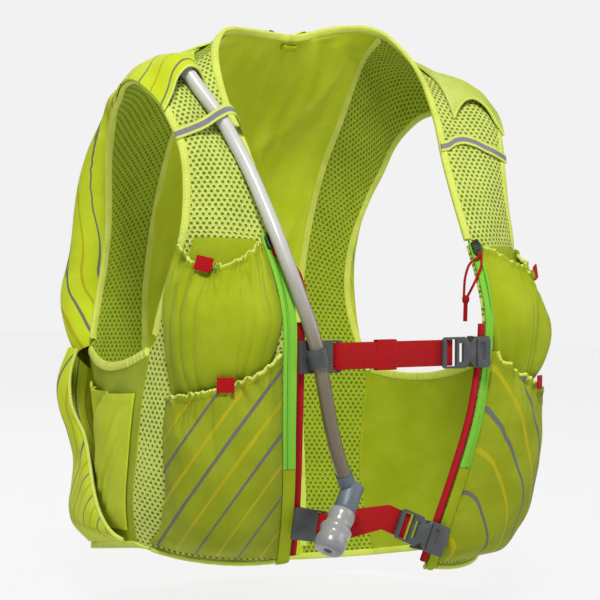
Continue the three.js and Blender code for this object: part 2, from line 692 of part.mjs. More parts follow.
function pocketFront(side, table, rim, depth) {
  const at = (u, v, height) => onRibbon(side, ...pocketPlace(table, rim, u, v), height);
  const under = (u, v, i) => {
    const swell = pocketSwell(u);
    const fold = (i % 2 === 0 ? 1 : -1) * GATHER_DEPTH * v ** 4 * Math.min(1, 3 * swell);
    return seatOnBinding + swell * depth * readTable(table, v, 5) + fold * swell;
  };
  const over = (u, v, i) => under(u, v, i) + POCKET_CLOTH;
  return clothWall(steps(0, 1, 2 * GATHERS), table.map((row) => row[0]), at, under, over);
}

// Plain strip behind the mouth of the upper pocket
function upperPocketFacing(side) {
  const at = (u, row, height) => {
    const inner = insetShare(0, row, tapeInset + FACING_MARGIN);
    const outer = 1 - insetShare(1, row, boundInset + FACING_MARGIN);
    return onRibbon(side, lerp(inner, outer, u), row, height);
  };
  const over = constant(coverSeat + FACING_CLOTH);
  return clothWall(steps(0, 1, 6), [5.4, 6, 6.85], at, constant(coverSeat), over);
}

// Red tab that stands at the mouth of a pocket, at a share u across it
function pocketTab(side, table, rim, depth, u, lift) {
  const [s, row] = pocketPlace(table, rim, u, 1);
  const height = seatOnBinding + pocketSwell(u) * depth * readTable(table, 1, 5);
  const front = height + POCKET_CLOTH + lift;
  const up = outwardOnRibbon(side, s, row);
  const along = onRibbon(side, s, row + 0.2, height).sub(onRibbon(side, s, row - 0.2, height));
  const rise = along.addScaledVector(up, -along.dot(up)).normalize();
  const out = rise.clone().cross(up);
  const centre = onRibbon(side, s, row, 0);
  const frames = [-0.35, 0.65].map((share) => {
    return { at: centre.clone().addScaledVector(rise, share * TAB_LENGTH), out, up };
  });
  return sweptBar(frames, rectangle(-TAB_WIDTH / 2, TAB_WIDTH / 2, front, front + POCKET_CLOTH));
}

// Covers over the shoulders, arched at the front where the hose comes out. Columns are the
// share across, the front row, and the share of the arch's rise.
const COVER_FRONT = [
  [0, 10.05, 0],
  [0.14, 10.3, 0.5],
  [0.3, 10.5, 0.95],
  [0.45, 10.55, 1],
  [0.62, 10.4, 0.75],
  [0.8, 10.1, 0.3],
  [1, 9.85, 0],
];
// Columns are the share of the way to the back and the share of the rise that is left
const COVER_LENGTH = [
  [0, 1],
  [0.14, 0.95],
  [0.3, 0.4],
  [0.45, 0.12],
  [1, 0.1],
];
const COVER_INNER_SHARE = 0.3;

function shoulderCover(side) {
  const rise = side === RIGHT ? HOSE_ARCH_RISE : SHOULDER_COVER_RISE;
  const backRow = COVER_BACK_ROW - CLEARANCE / rowPitch(COVER_BACK_ROW);
  const at = (u, v, height) => {
    const row = lerp(readTable(COVER_FRONT, u, 1), backRow, v);
    const outer = 1 - insetShare(1, row, boundInset);
    return onRibbon(side, lerp(COVER_INNER_SHARE, outer, u), row, height);
  };
  const under = (u, v) => {
    return coverSeat + rise * readTable(COVER_FRONT, u, 2) * readTable(COVER_LENGTH, v, 1);
  };
  const over = (u, v) => under(u, v) + POCKET_CLOTH;
  const vs = [0, 0.14, 0.28, 0.42, 0.58, 0.78, 1];
  return clothWall(COVER_FRONT.map((row) => row[0]), vs, at, under, over);
}

// Band across the strap. On the right it arches over the hose. Columns are the share across,
// the shift along the strap in rows, and the share of the rise over the hose.
const KEEPER_ARCH = [
  [0, 0, 0],
  [0.12, 0.05, 0.55],
  [0.22, 0.15, 0.98],
  [0.36, 0.2, 1],
  [0.5, 0.15, 0.7],
  [0.65, 0.05, 0.3],
  [0.8, 0, 0.05],
  [1, -0.05, 0],
];

function keeperBand(side) {
  const rise = side === RIGHT ? HOSE_ARCH_RISE : 0;
  const half = (0.5 * KEEPER_WIDTH) / rowPitch(KEEPER_ROW);
  const at = (u, v, height) => {
    const row = KEEPER_ROW + readTable(KEEPER_ARCH, u, 1) + v * half;
    const inset = CLEARANCE / rowWidth(row);
    return onRibbon(side, lerp(inset, 1 - inset, u), row, height);
  };
  const under = (u) => seatOnBinding + CLEARANCE + rise * readTable(KEEPER_ARCH, u, 2);
  const over = (u) => under(u) + FACING_CLOTH;
  return clothWall(KEEPER_ARCH.map((row) => row[0]), [-1, 1], at, under, over);
}

// Pouch over the back, from the shoulder covers down to the stretch pouch. Columns are the
// ribbon row and the share of the pouch's depth there.
const BACK_POUCH = [
  [12.9, 0.05],
  [13.5, 0.12],
  [14.2, 0.3],
  [15, 0.47],
  [16, 0.64],
  [17, 0.83],
  [18, 0.95],
  [19, 1],
  [20, 0.97],
  [20.7, 0.72],
  [21.3, 0.5],
  [22.3, 0.42],
];
const POUCH_TOP_MIDDLE = 15.25;
// Columns are the share of the half width, the share of the depth, and the share of the
// spread past the armhole
const POUCH_PROFILE = [
  [0, 1, 0],
  [0.25, 1, 0.1],
  [0.5, 0.98, 0.3],
  [0.7, 0.95, 0.62],
  [0.84, 0.88, 0.95],
  [0.92, 0.6, 1],
  [0.97, 0.25, 0.6],
  [1, 0, 0],
];

// Upper edge of the stretch pouch, which the back cover ends just above. Columns are the
// share of the half width and the share of the height of the side.
const STRETCH_TOP = [
  [0, 0.585],
  [0.6, 0.63],
  [0.8, 0.8],
  [1, 0.99],
];
const POUCH_GAP_ROWS = 0.03;

function backPouchRow(turn, v) {
  const top = lerp(POUCH_TOP_MIDDLE, COVER_BACK_ROW, turn);
  return lerp(top, sideBackRow(readTable(STRETCH_TOP, turn, 1)) - POUCH_GAP_ROWS, v);
}

// Copies the columns of a half to both sides of the middle
const bothHalves = (half) => [...half.slice(1).map((u) => -u).reverse(), ...half];

function backCover() {
  const swell = (turn, v, column) => {
    return readTable(POUCH_PROFILE, turn, column) * readTable(BACK_POUCH, backPouchRow(turn, v), 1);
  };
  const at = (u, v, height) => {
    const side = u < 0 ? RIGHT : LEFT;
    const turn = Math.abs(u);
    const row = backPouchRow(turn, v);
    const edge = 1 - insetShare(1, row, boundInset + CLEARANCE);
    const point = onRibbon(side, turn * edge, row, height);
    point.x += side * BACK_POUCH_SPREAD * swell(turn, v, 2);
    return point;
  };
  const under = (u, v) => coverSeat + BACK_POUCH_DEPTH * swell(Math.abs(u), v, 1);
  const over = (u, v) => under(u, v) + POCKET_CLOTH;
  const us = bothHalves(POUCH_PROFILE.map((row) => row[0]));
  return clothWall(us, steps(0, 1, 11), at, under, over);
}

// Stretch pouch round the lower back, open at both sides. Its mouth slants across the side
// from the top of the back seam to the front of the hem. Columns are the share of the height,
// the place of the mouth on the lower wrap, its gape as a share of the depth, and the swell.
const STRETCH_CORNER = 0.6;
const STRETCH_MOUTH = [
  [0, 1.93, 0.02, 0.02],
  [0.06, 1.86, 0.25, 0.5],
  [0.12, 1.7, 0.25, 0.68],
  [0.22, 1.5, 0.26, 0.7],
  [0.36, 1.25, 0.28, 0.68],
  [0.5, 1.13, 0.36, 0.82],
  [0.66, 1.08, 0.6, 0.98],
  [0.82, 1.05, 0.58, 0.9],
  [1, 1.03, 0.3, 0.5],
];
function backStretchPocket() {
  const clear = (2 * CLEARANCE) / sideHeight;
  const level = (turn, v) => lerp(2 * HEM_START, readTable(STRETCH_TOP, turn, 1) - clear, v);
  const at = (u, v, height) => {
    const side = u < 0 ? RIGHT : LEFT;
    const turn = Math.abs(u);
    const past = Math.max(0, turn - STRETCH_CORNER) / (1 - STRETCH_CORNER);
    const onBack = Math.min(1, turn / STRETCH_CORNER);
    const q = onBack + past * (readTable(STRETCH_MOUTH, v, 1) - 1);
    return onLowerWrap(side, q, level(onBack, v), height);
  };
  const under = (u, v) => {
    const gape = readTable(STRETCH_MOUTH, v, 2);
    const swell = readTable(STRETCH_MOUTH, v, 3) * (1 - Math.abs(u) ** 5);
    return coverSeat + STRETCH_POUCH_DEPTH * (swell + gape * Math.abs(u) ** 5);
  };
  const over = (u, v) => under(u, v) + POCKET_CLOTH;
  const us = bothHalves([0, 0.15, 0.3, 0.42, 0.52, STRETCH_CORNER, 0.68, 0.78, 0.89, 1]);
  return clothWall(us, STRETCH_MOUTH.map((row) => row[0]), at, under, over);
}

// Plain pocket low on the side, with a level hem at its mouth
const SIDE_POCKET_BOTTOM = 0.08;
const SIDE_POCKET_TOP = 0.79;

function sidePocket(side) {
  const at = (u, v, height) => {
    return onSide(side, lerp(0.07, 0.93, u), lerp(SIDE_POCKET_BOTTOM, SIDE_POCKET_TOP, v), height);
  };
  const under = (u, v) => {
    const swell = Math.sin(Math.PI * u) * Math.min(1, 2.5 * v);
    return seatOnPanel + CLEARANCE + SIDE_POCKET_DEPTH * swell;
  };
  const over = (u, v) => under(u, v) + POCKET_CLOTH;
  return clothWall(steps(0, 1, 6), steps(0, 1, 5), at, under, over);
}

// Zip tape over the front edge, and the plain facing below it
function edgeStrip(side, rows) {
  const at = (u, row, height) => {
    const inner = insetShare(0, row, railInset);
    return onRibbon(side, lerp(inner, insetShare(0, row, tapeInset - CLEARANCE), u), row, height);
  };
  return clothWall([0, 1], rows, at, constant(tapeSeat), constant(tapeSeat + FACING_CLOTH));
}

const zipTape = (side) => edgeStrip(side, rowsBetween(ZIP_END_ROW, ZIP_TOP_ROW - seamGap));
const frontFacing = (side) => edgeStrip(side, rowsBetween(FRONT_ROWS[0], ZIP_END_ROW - seamGap));

// Stiff rail on each front edge, which the chest straps slide on
const railSection = rectangle(-RAIL_INSIDE, RAIL_WIDTH - RAIL_INSIDE, -RAIL_BACK, RAIL_THICKNESS - RAIL_BACK);
const rail = (side) => sweptBar(ribbonEdgeFrames(side, 0, rowsBetween(0.1, RAIL_TOP_ROW)), railSection);

// Hanging loop inside the collar, below its binding
function collarLoop() {
  const half = COLLAR_LOOP_WIDTH / 2;
  const back = -CLEARANCE - COVER_CLEARANCE;
  const outline = [
    [-half, back], [-half * 0.55, back - LOOP_SAG], [half * 0.55, back - LOOP_SAG], [half, back],
    [half - 2 * LOOP_WALL, back], [half * 0.45, back - LOOP_SAG + LOOP_WALL],
    [-half * 0.45, back - LOOP_SAG + LOOP_WALL], [2 * LOOP_WALL - half, back],
  ];
  const basis = new THREE.Matrix4().makeBasis(vec(1, 0, 0), collarFrame.up, collarFrame.out);
  const centre = collarFrame.at.clone().addScaledVector(collarFrame.out, -BINDING_WIDTH - LOOP_HEIGHT);
  return prism(outline, LOOP_HEIGHT).applyMatrix4(basis.setPosition(centre));
}

for (const [side, word] of SIDES) {
  addPiece(vest, `front_panel_${word}`, frontPanel(side), LIME_MESH);
  addPiece(vest, `back_flank_${word}`, backFlank(side), LIME_MESH);
  addPiece(vest, `side_panel_${word}`, sidePanel(side), LIME);
  addPiece(vest, `side_elastic_${word}`, sideElastic(side), EDGE_LIME);
  addPiece(vest, `armhole_binding_${word}`, armholeBinding(side), EDGE_LIME);
  const upper = [side, UPPER_POCKET, UPPER_RIM, UPPER_POCKET_DEPTH];
  addPiece(vest, `upper_pocket_${word}`, pocketFront(...upper), LIME);
  const upperTab = pocketTab(...upper, UPPER_TAB_SHARE, UPPER_TAB_LIFT);
  addPiece(vest, `upper_pocket_tab_${word}`, upperTab, WEBBING_RED);
  addPiece(vest, `upper_pocket_facing_${word}`, upperPocketFacing(side), LIME);
  const lower = [side, LOWER_POCKET, LOWER_RIM, LOWER_POCKET_DEPTH];
  addPiece(vest, `lower_pocket_${word}`, pocketFront(...lower), STRIPED);
  const lowerTab = pocketTab(...lower, LOWER_TAB_SHARE, LOWER_TAB_LIFT);
  addPiece(vest, `lower_pocket_tab_${word}`, lowerTab, WEBBING_RED);
  addPiece(vest, `side_pocket_${word}`, sidePocket(side), LIME);
  addPiece(vest, `shoulder_cover_${word}`, shoulderCover(side), side === RIGHT ? STRIPED : LIME);
  addPiece(vest, `keeper_band_${word}`, keeperBand(side), REFLECTIVE);
  addPiece(vest, `zip_tape_${word}`, zipTape(side), ZIP_GREEN);
  addPiece(vest, `front_facing_${word}`, frontFacing(side), LIME);
  addPiece(vest, `rail_${word}`, rail(side), RAIL_RED);
}
addPiece(vest, "back_centre_panel", backCentrePanel(), LIME);
addPiece(vest, "back_cover", backCover(), STRIPED);
addPiece(vest, "back_stretch_pocket", backStretchPocket(), STRIPED);
addPiece(vest, "neck_binding", neckBinding(), EDGE_LIME);
addPiece(vest, "hem_binding", hemBinding(), EDGE_LIME);
addPiece(vest, "collar_loop", collarLoop(), LIME);

// Chest straps. Each end has a group at its rail, with x along the strap, y to the back and
// z up the rail, and the rail's section gives the room that the hardware leaves for it.
function strapGroups(rightRow, leftRow, tilt) {
  const right = onRibbon(RIGHT, 0, rightRow);
  const left = onRibbon(LEFT, 0, leftRow);
  const along = left.clone().sub(right).normalize();
  const back = vec(0, 0, 1).cross(along).normalize();
  const groups = [right, left].map((origin) => {
    const group = new THREE.Group();
    group.position.copy(origin);
    const basis = new THREE.Matrix4().makeBasis(along, back, along.clone().cross(back));
    group.quaternion.setFromRotationMatrix(basis);
    return group;
  });
  groups[1].rotateY(tilt);
  groups.forEach((group) => group.updateMatrixWorld(true));
  return groups;
}

// Extent of the rail in a group's own axes, over the height of the hardware
function railReach(group, side, row) {
  const span = (0.64 * HARDWARE_HEIGHT) / rowPitch(row);
  const frames = ribbonEdgeFrames(side, 0, [row - span, row, row + span]);
  const reach = new THREE.Box3();
  for (const frame of frames) {
    for (const [out, up] of railSection) {
      const corner = frame.at.clone().addScaledVector(frame.out, out).addScaledVector(frame.up, up);
      reach.expandByPoint(group.worldToLocal(corner));
    }
  }
  return reach.expandByScalar(CLEARANCE);
}

// Hook that holds the rail from its free side: a front wall, a side wall and a back lip
function railHook(reach, face, toLeft) {
  const outer = toLeft ? reach.min.x - HOOK_WALL : reach.max.x + HOOK_WALL;
  const inner = toLeft ? reach.min.x : reach.max.x;
  const far = toLeft ? reach.max.x : reach.min.x;
  const lip = toLeft ? reach.min.x + HOOK_WALL : reach.max.x - HOOK_WALL;
  const back = reach.max.y;
  return prism([
    [far, face - PLATE_THICKNESS], [outer, face - PLATE_THICKNESS], [outer, back + HOOK_WALL],
    [lip, back + HOOK_WALL], [lip, back], [inner, back], [inner, face], [far, face],
  ], HARDWARE_HEIGHT);
}

// Slider on the right rail, with a slot and a bar for the webbing at its free end
function strapSlider(reach, length, windowed) {
  const face = reach.min.y;
  const half = HARDWARE_HEIGHT / 2;
  const bar = length - SLIDER_BAR;
  const slotHalf = WEBBING_WIDTH / 2 + 2 * CLEARANCE;
  const holes = [rectangle(bar - SLIDER_SLOT, bar, -slotHalf, slotHalf)];
  if (windowed) {
    const from = reach.max.x + HOOK_WALL + SLIDER_BAR;
    holes.push(cutRectangle(from, bar - SLIDER_SLOT - SLIDER_BAR, -half * 0.7, half * 0.7, HOOK_WALL));
  }
  const outline = cutRectangle(reach.min.x, length, -half, half, HOOK_WALL);
  return joined([railHook(reach, face, false), plate(outline, holes, face - PLATE_THICKNESS, face)]);
}

// Male half of the buckle: a ladder frame for the webbing and two arms that cross like an X
function buckleMale(reach) {
  const face = reach.min.y;
  const tip = reach.min.x - HOOK_WALL - CLEARANCE;
  const neck = tip - BUCKLE_ARMS;
  const start = neck - BUCKLE_FRAME;
  const half = HARDWARE_HEIGHT / 2;
  const waist = (neck + tip) / 2;
  const window = WEBBING_WIDTH / 2 + CLEARANCE;
  const outline = [
    [start, -half + HOOK_WALL], [start + HOOK_WALL, -half], [neck, -half], [waist, -half / 2], [tip, -half],
    [tip, half], [waist, half / 2], [neck, half], [start + HOOK_WALL, half], [start, half - HOOK_WALL],
  ];
  const first = start + SLIDER_BAR * 0.8;
  const second = first + BUCKLE_FRAME * 0.42;
  const holes = [
    rectangle(first, second, -window, window),
    rectangle(second + SLIDER_BAR * 0.6, neck - HOOK_WALL, -window * 0.7, window * 0.7),
  ];
  return plate(outline, holes, face - PLATE_THICKNESS, face);
}

// Female half of the buckle, hooked on the left rail
function buckleFemale(reach) {
  const face = reach.min.y;
  const half = HARDWARE_HEIGHT / 2;
  const from = reach.min.x - HOOK_WALL;
  const front = plate(
    cutRectangle(from, reach.max.x, -half, half, HOOK_WALL),
    [cutRectangle(from + HOOK_WALL, from + BUCKLE_SOCKET / 2, -half * 0.6, half * 0.6, HOOK_WALL / 2)],
    face - PLATE_THICKNESS - HOOK_WALL / 2,
    face - PLATE_THICKNESS / 2,
  );
  return joined([railHook(reach, face, true), front]);
}

// Webbing from its stitched tail round the slider's bar and on to the buckle. Each station
// is a place in the right or left group, and turn is the direction of its face.
function webbing(groups, reaches, length, tail, fold) {
  const [right, left] = groups;
  const half = WEBBING_THICKNESS / 2;
  const off = half + CLEARANCE;
  const [faceR, faceL] = reaches.map((reach) => reach.min.y);
  const middle = faceR - PLATE_THICKNESS / 2;
  const round = PLATE_THICKNESS / 2 + off;
  const bar = length - SLIDER_BAR + 0.1 * SLIDER_BAR;
  const under = middle + round - WEBBING_THICKNESS - CLEARANCE;
  const stations = [
    [right, length + tail, under, 270, 1],
    [right, length + 2.5 * round, under, 270, 1],
    [right, length + round, (under + middle - round) / 2, 255, 1],
    [right, length, middle - round, 270, 1],
    ...[270, 225, 180, 135, 90].map((angle) => {
      const turn = THREE.MathUtils.degToRad(angle);
      return [right, bar + round * Math.cos(turn), middle + round * Math.sin(turn), angle, 1];
    }),
    [right, length + 2.5 * round, middle + round, 90, fold],
    [left, reaches[1].min.x - BUCKLE_ARMS - BUCKLE_FRAME - BUCKLE_SOCKET, faceL + off, 90, 1],
    [left, reaches[1].min.x - HOOK_WALL - BUCKLE_ARMS - BUCKLE_FRAME / 2, faceL + off, 90, 1],
  ];
  const frames = stations.map(([group, x, y, angle, widen]) => {
    const turn = THREE.MathUtils.degToRad(angle);
    return {
      at: group.localToWorld(vec(x, y, 0)),
      out: vec(0, 0, 1).transformDirection(group.matrixWorld),
      up: vec(Math.cos(turn), Math.sin(turn), 0).transformDirection(group.matrixWorld),
      widen,
    };
  });
  return sweptBar(frames, rectangle(-WEBBING_WIDTH / 2, WEBBING_WIDTH / 2, -half, half));
}

// Elastic sleeve that holds the tail of the webbing
function webbingKeeper(reach, from) {
  const y = reach.min.y + WEBBING_THICKNESS / 2 + CLEARANCE;
  const deep = WEBBING_THICKNESS / 2 + CLEARANCE;
  const tall = WEBBING_WIDTH / 2 + CLEARANCE;
  const wall = SLEEVE_WALL;
  const outer = rectangle(-deep - wall, deep + wall, -tall - wall, tall + wall);
  const shape = new THREE.Shape(outer.map(([a, b]) => new THREE.Vector2(a, b)));
  const inside = rectangle(-deep, deep, -tall, tall).map(([a, b]) => new THREE.Vector2(a, b));
  shape.holes = [new THREE.Path(inside)];
  const geometry = new THREE.ExtrudeGeometry(shape, { depth: KEEPER_SLEEVE, bevelEnabled: false });
  const basis = new THREE.Matrix4().makeBasis(vec(0, 1, 0), vec(0, 0, 1), vec(1, 0, 0));
  return geometry.applyMatrix4(basis.setPosition(from, y, 0));
}

const upperGroups = strapGroups(UPPER_STRAP_RIGHT_ROW, UPPER_STRAP_LEFT_ROW, 0);
const lowerGroups = strapGroups(LOWER_STRAP_RIGHT_ROW, LOWER_STRAP_LEFT_ROW, LOWER_BUCKLE_TILT);
const upperReaches = [
  railReach(upperGroups[0], RIGHT, UPPER_STRAP_RIGHT_ROW),
  railReach(upperGroups[1], LEFT, UPPER_STRAP_LEFT_ROW),
];
const lowerReaches = [
  railReach(lowerGroups[0], RIGHT, LOWER_STRAP_RIGHT_ROW),
  railReach(lowerGroups[1], LEFT, LOWER_STRAP_LEFT_ROW),
];
const sleeveStart = UPPER_SLIDER_LENGTH + UPPER_TAIL_LENGTH + CLEARANCE;

const [upperRight, upperLeft] = upperGroups;
const [lowerRight, lowerLeft] = lowerGroups;
const upperSlider = strapSlider(upperReaches[0], UPPER_SLIDER_LENGTH, true);
const lowerSlider = strapSlider(lowerReaches[0], LOWER_SLIDER_LENGTH, false);
addPiece(upperRight, "upper_strap_slider", upperSlider, BUCKLE_GREY);
addPiece(upperRight, "upper_webbing_keeper", webbingKeeper(upperReaches[0], sleeveStart), RAIL_RED);
addPiece(upperLeft, "upper_buckle_male", buckleMale(upperReaches[1]), BUCKLE_GREY);
addPiece(upperLeft, "upper_buckle_female", buckleFemale(upperReaches[1]), BUCKLE_GREY);
addPiece(lowerRight, "lower_strap_slider", lowerSlider, BUCKLE_GREY);
addPiece(lowerLeft, "lower_buckle_male", buckleMale(lowerReaches[1]), BUCKLE_GREY);
addPiece(lowerLeft, "lower_buckle_female", buckleFemale(lowerReaches[1]), BUCKLE_GREY);
const upperWebbing = webbing(upperGroups, upperReaches, UPPER_SLIDER_LENGTH, UPPER_TAIL_LENGTH, 1);
const lowerWebbing = webbing(lowerGroups, lowerReaches, LOWER_SLIDER_LENGTH, LOWER_TAIL_LENGTH, WEBBING_FOLD);
addPiece(vest, "upper_webbing", upperWebbing, WEBBING_RED);
addPiece(vest, "lower_webbing", lowerWebbing, WEBBING_RED);
vest.add(...upperGroups, ...lowerGroups);

// A place as shares of HALF_WIDTH, CHEST_DEPTH and LENGTH, so that routes follow the body
const bodyPoint = ([x, y, z]) => vec(x * HALF_WIDTH, y * CHEST_DEPTH, z * LENGTH);

// Route of the drinking hose, from under the right shoulder cover through the keeper band
// and the clip on the upper strap to the valve
const HOSE_ROUTE = [
  [-0.80364, -0.07396, -0.06419], [-0.78909, -0.08906, -0.07581], [-0.7697, -0.10868, -0.09302],
  [-0.72848, -0.13962, -0.12326], [-0.6897, -0.16792, -0.15233], [-0.65333, -0.19811, -0.18837],
  [-0.62303, -0.23208, -0.22558], [-0.6, -0.26981, -0.26512], [-0.58727, -0.31321, -0.30465],
  [-0.57455, -0.35321, -0.34302], [-0.55758, -0.38755, -0.38372], [-0.53697, -0.41811, -0.42326],
  [-0.51091, -0.43736, -0.46163], [-0.4897, -0.46038, -0.49767], [-0.46909, -0.47509, -0.53256],
  [-0.44667, -0.48, -0.56977], [-0.42, -0.47736, -0.60698], [-0.38788, -0.46755, -0.64419],
  [-0.35212, -0.45434, -0.67907], [-0.31091, -0.43925, -0.71279], [-0.2697, -0.42415, -0.7407],
  [-0.23818, -0.41472, -0.76163],
].map(bodyPoint);
const VALVE_TOP = bodyPoint([-0.16606, -0.4, -0.78256]);
const VALVE_AXIS = vec(-24.4, -12, -35).normalize();

const hoseEnd = HOSE_ROUTE[HOSE_ROUTE.length - 1];
const hoseExit = hoseEnd.clone().sub(HOSE_ROUTE[HOSE_ROUTE.length - 2]).normalize();
addPiece(vest, "drink_hose", roundTube(HOSE_ROUTE, HOSE_DIAMETER, 10, 26), HOSE_GREY);

// Turns a solid of revolution about z so that it runs from a point along a direction
function alongAxis(profile, sides, from, direction) {
  const shape = profile.map(([radius, length]) => new THREE.Vector2(radius, length));
  const geometry = new THREE.LatheGeometry(shape, sides).rotateX(Math.PI / 2);
  const turn = new THREE.Quaternion().setFromUnitVectors(vec(0, 0, 1), direction);
  const welded = geometry.applyQuaternion(turn).translate(from.x, from.y, from.z);
  return joined([welded]);
}

// Elbow with the nipple that the hose is pushed on
function hoseElbow() {
  const radius = ELBOW_DIAMETER / 2;
  const body = alongAxis([
    [0, 0], [radius - HOOK_WALL / 2, 0], [radius, HOOK_WALL / 2], [radius, ELBOW_LENGTH - ELBOW_STEP],
    [radius - HOOK_WALL / 2, ELBOW_LENGTH], [0, ELBOW_LENGTH],
  ], 16, VALVE_TOP, VALVE_AXIS);
  const nippleStart = hoseEnd.clone().addScaledVector(hoseExit, CLEARANCE);
  const nipple = alongAxis([
    [0, 0], [HOSE_DIAMETER / 2 + 1, 0], [HOSE_DIAMETER / 2 + 1, NIPPLE_LENGTH], [0, NIPPLE_LENGTH],
  ], 12, nippleStart, hoseExit);
  return joined([body, nipple]);
}

// Soft bite valve: a collar over the elbow's end, a flange, a skirt and a bitten lip.
// Columns are the share of half the valve's diameter and the share of its length.
const VALVE_PROFILE = [
  [0, 0], [0.8, 0], [0.86, 0.1], [0.8, 0.28], [0.84, 0.36], [1, 0.44], [1, 0.5], [0.92, 0.62],
  [1, 0.78], [0.95, 0.93], [0.76, 1], [0.3, 1], [0.26, 0.94], [0, 0.92],
];

function biteValve() {
  const start = VALVE_TOP.clone().addScaledVector(VALVE_AXIS, ELBOW_LENGTH + CLEARANCE);
  const profile = VALVE_PROFILE.map(([radius, length]) => {
    return [(radius * VALVE_DIAMETER) / 2, length * VALVE_LENGTH];
  });
  return alongAxis(profile, 16, start, VALVE_AXIS);
}

addPiece(vest, "hose_elbow", hoseElbow(), BUCKLE_GREY);
addPiece(vest, "bite_valve", biteValve(), VALVE_CLEAR);

// Clip that holds the hose against the upper slider, open at its right side
function hoseClip() {
  const inner = HOSE_DIAMETER / 2 + 2 * CLEARANCE;
  const outer = inner + CLIP_WALL;
  const arc = (radius, from, to) => steps(from, to, 8).map((angle) => {
    const turn = THREE.MathUtils.degToRad(angle);
    return [radius * Math.cos(turn), radius * Math.sin(turn)];
  });
  return prism([...arc(outer, 150, 370), ...arc(inner, 370, 150)], CLIP_HEIGHT);
}

const clipHeight = upperGroups[0].position.z;
const clipIndex = HOSE_ROUTE.findIndex((point) => point.z < clipHeight);
const aboveClip = HOSE_ROUTE[clipIndex - 1];
const belowClip = HOSE_ROUTE[clipIndex];
const clipShare = (aboveClip.z - clipHeight) / (aboveClip.z - belowClip.z);
const clip = addPiece(vest, "upper_hose_clip", hoseClip(), BUCKLE_GREY);
clip.position.copy(aboveClip).lerp(belowClip, clipShare);
clip.quaternion.setFromUnitVectors(vec(0, 0, 1), aboveClip.clone().sub(belowClip).normalize());

// Zip sliders, and the pull cords that hang from them with a knot at the end. The routes
// are the two strands and the knot of each side.
const PULL_CORDS = {
  right: {
    strands: [
      [
        [-0.57273, -0.35811, -0.38488], [-0.52485, -0.3683, -0.40116],
        [-0.47576, -0.36151, -0.41744], [-0.43636, -0.35283, -0.43488],
      ],
      [
        [-0.52424, -0.35547, -0.38837], [-0.48182, -0.35283, -0.39651],
        [-0.44242, -0.35472, -0.41395], [-0.41818, -0.35283, -0.43372],
      ],
    ],
    knot: [-0.42303, -0.35208, -0.43628],
  },
  left: {
    strands: [
      [[0.50606, -0.35321, -0.3907], [0.48182, -0.35283, -0.41628], [0.47879, -0.3517, -0.44651]],
      [[0.54667, -0.37321, -0.39767], [0.5097, -0.37547, -0.42512], [0.50061, -0.35547, -0.44651]],
    ],
    knot: [0.49091, -0.35094, -0.44767],
  },
};

function zipSlider() {
  const half = SLIDER_WIDTH / 2;
  const end = SLIDER_LENGTH / 2;
  const body = prism(cutRectangle(-half, half, -end, end, SLIDER_WIDTH / 4), SLIDER_BODY);
  const bridge = prism(cutRectangle(-half / 3, half / 3, -end / 2, end, CLEARANCE), BRIDGE_RISE);
  return joined([body, bridge.translate(0, 0, (SLIDER_BODY + BRIDGE_RISE) / 2 - CLEARANCE)]);
}

// Knot of the pull cord with the tail below it
function cordKnot(at) {
  const radius = KNOT_DIAMETER / 2;
  const tail = CORD_DIAMETER * 0.9;
  return alongAxis([
    [0, 0], [radius * 0.7, 0], [radius, KNOT_LENGTH * 0.3], [radius, KNOT_LENGTH * 0.7],
    [tail, KNOT_LENGTH], [tail, KNOT_LENGTH + TAIL_LENGTH], [0, KNOT_LENGTH + TAIL_LENGTH],
  ], 8, at, vec(0, 0, -1));
}

for (const [side, word] of SIDES) {
  const s = insetShare(0, SLIDER_ROW, tapeInset / 2);
  const height = tapeSeat + FACING_CLOTH + CLEARANCE + SLIDER_BODY / 2;
  const up = outwardOnRibbon(side, s, SLIDER_ROW);
  const ahead = onRibbon(side, s, SLIDER_ROW + 0.1).sub(onRibbon(side, s, SLIDER_ROW - 0.1));
  const along = ahead.addScaledVector(up, -ahead.dot(up)).normalize();
  const basis = new THREE.Matrix4().makeBasis(along.clone().cross(up), along, up);
  const slider = addPiece(vest, `zip_slider_${word}`, zipSlider(), SLIDER_METAL);
  slider.position.copy(onRibbon(side, s, SLIDER_ROW, height));
  slider.quaternion.setFromRotationMatrix(basis);
  const cord = PULL_CORDS[word];
  slider.updateMatrixWorld(true);
  cord.strands.forEach((points, i) => {
    const across = (i === 0 ? -0.6 : 0.6) * CORD_DIAMETER;
    const start = slider.localToWorld(vec(across, -SLIDER_LENGTH / 2 - CORD_DIAMETER, CORD_DIAMETER / 2));
    const route = [start, ...points.map(bodyPoint)];
    const tube = roundTube(route, CORD_DIAMETER, 8, 8);
    addPiece(vest, `pull_cord_${word}_${i + 1}`, tube, WEBBING_RED);
  });
  addPiece(vest, `pull_cord_knot_${word}`, cordKnot(bodyPoint(cord.knot)), WEBBING_RED);
}

export default vest;
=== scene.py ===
"""Running hydration vest: cloth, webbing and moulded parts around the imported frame."""

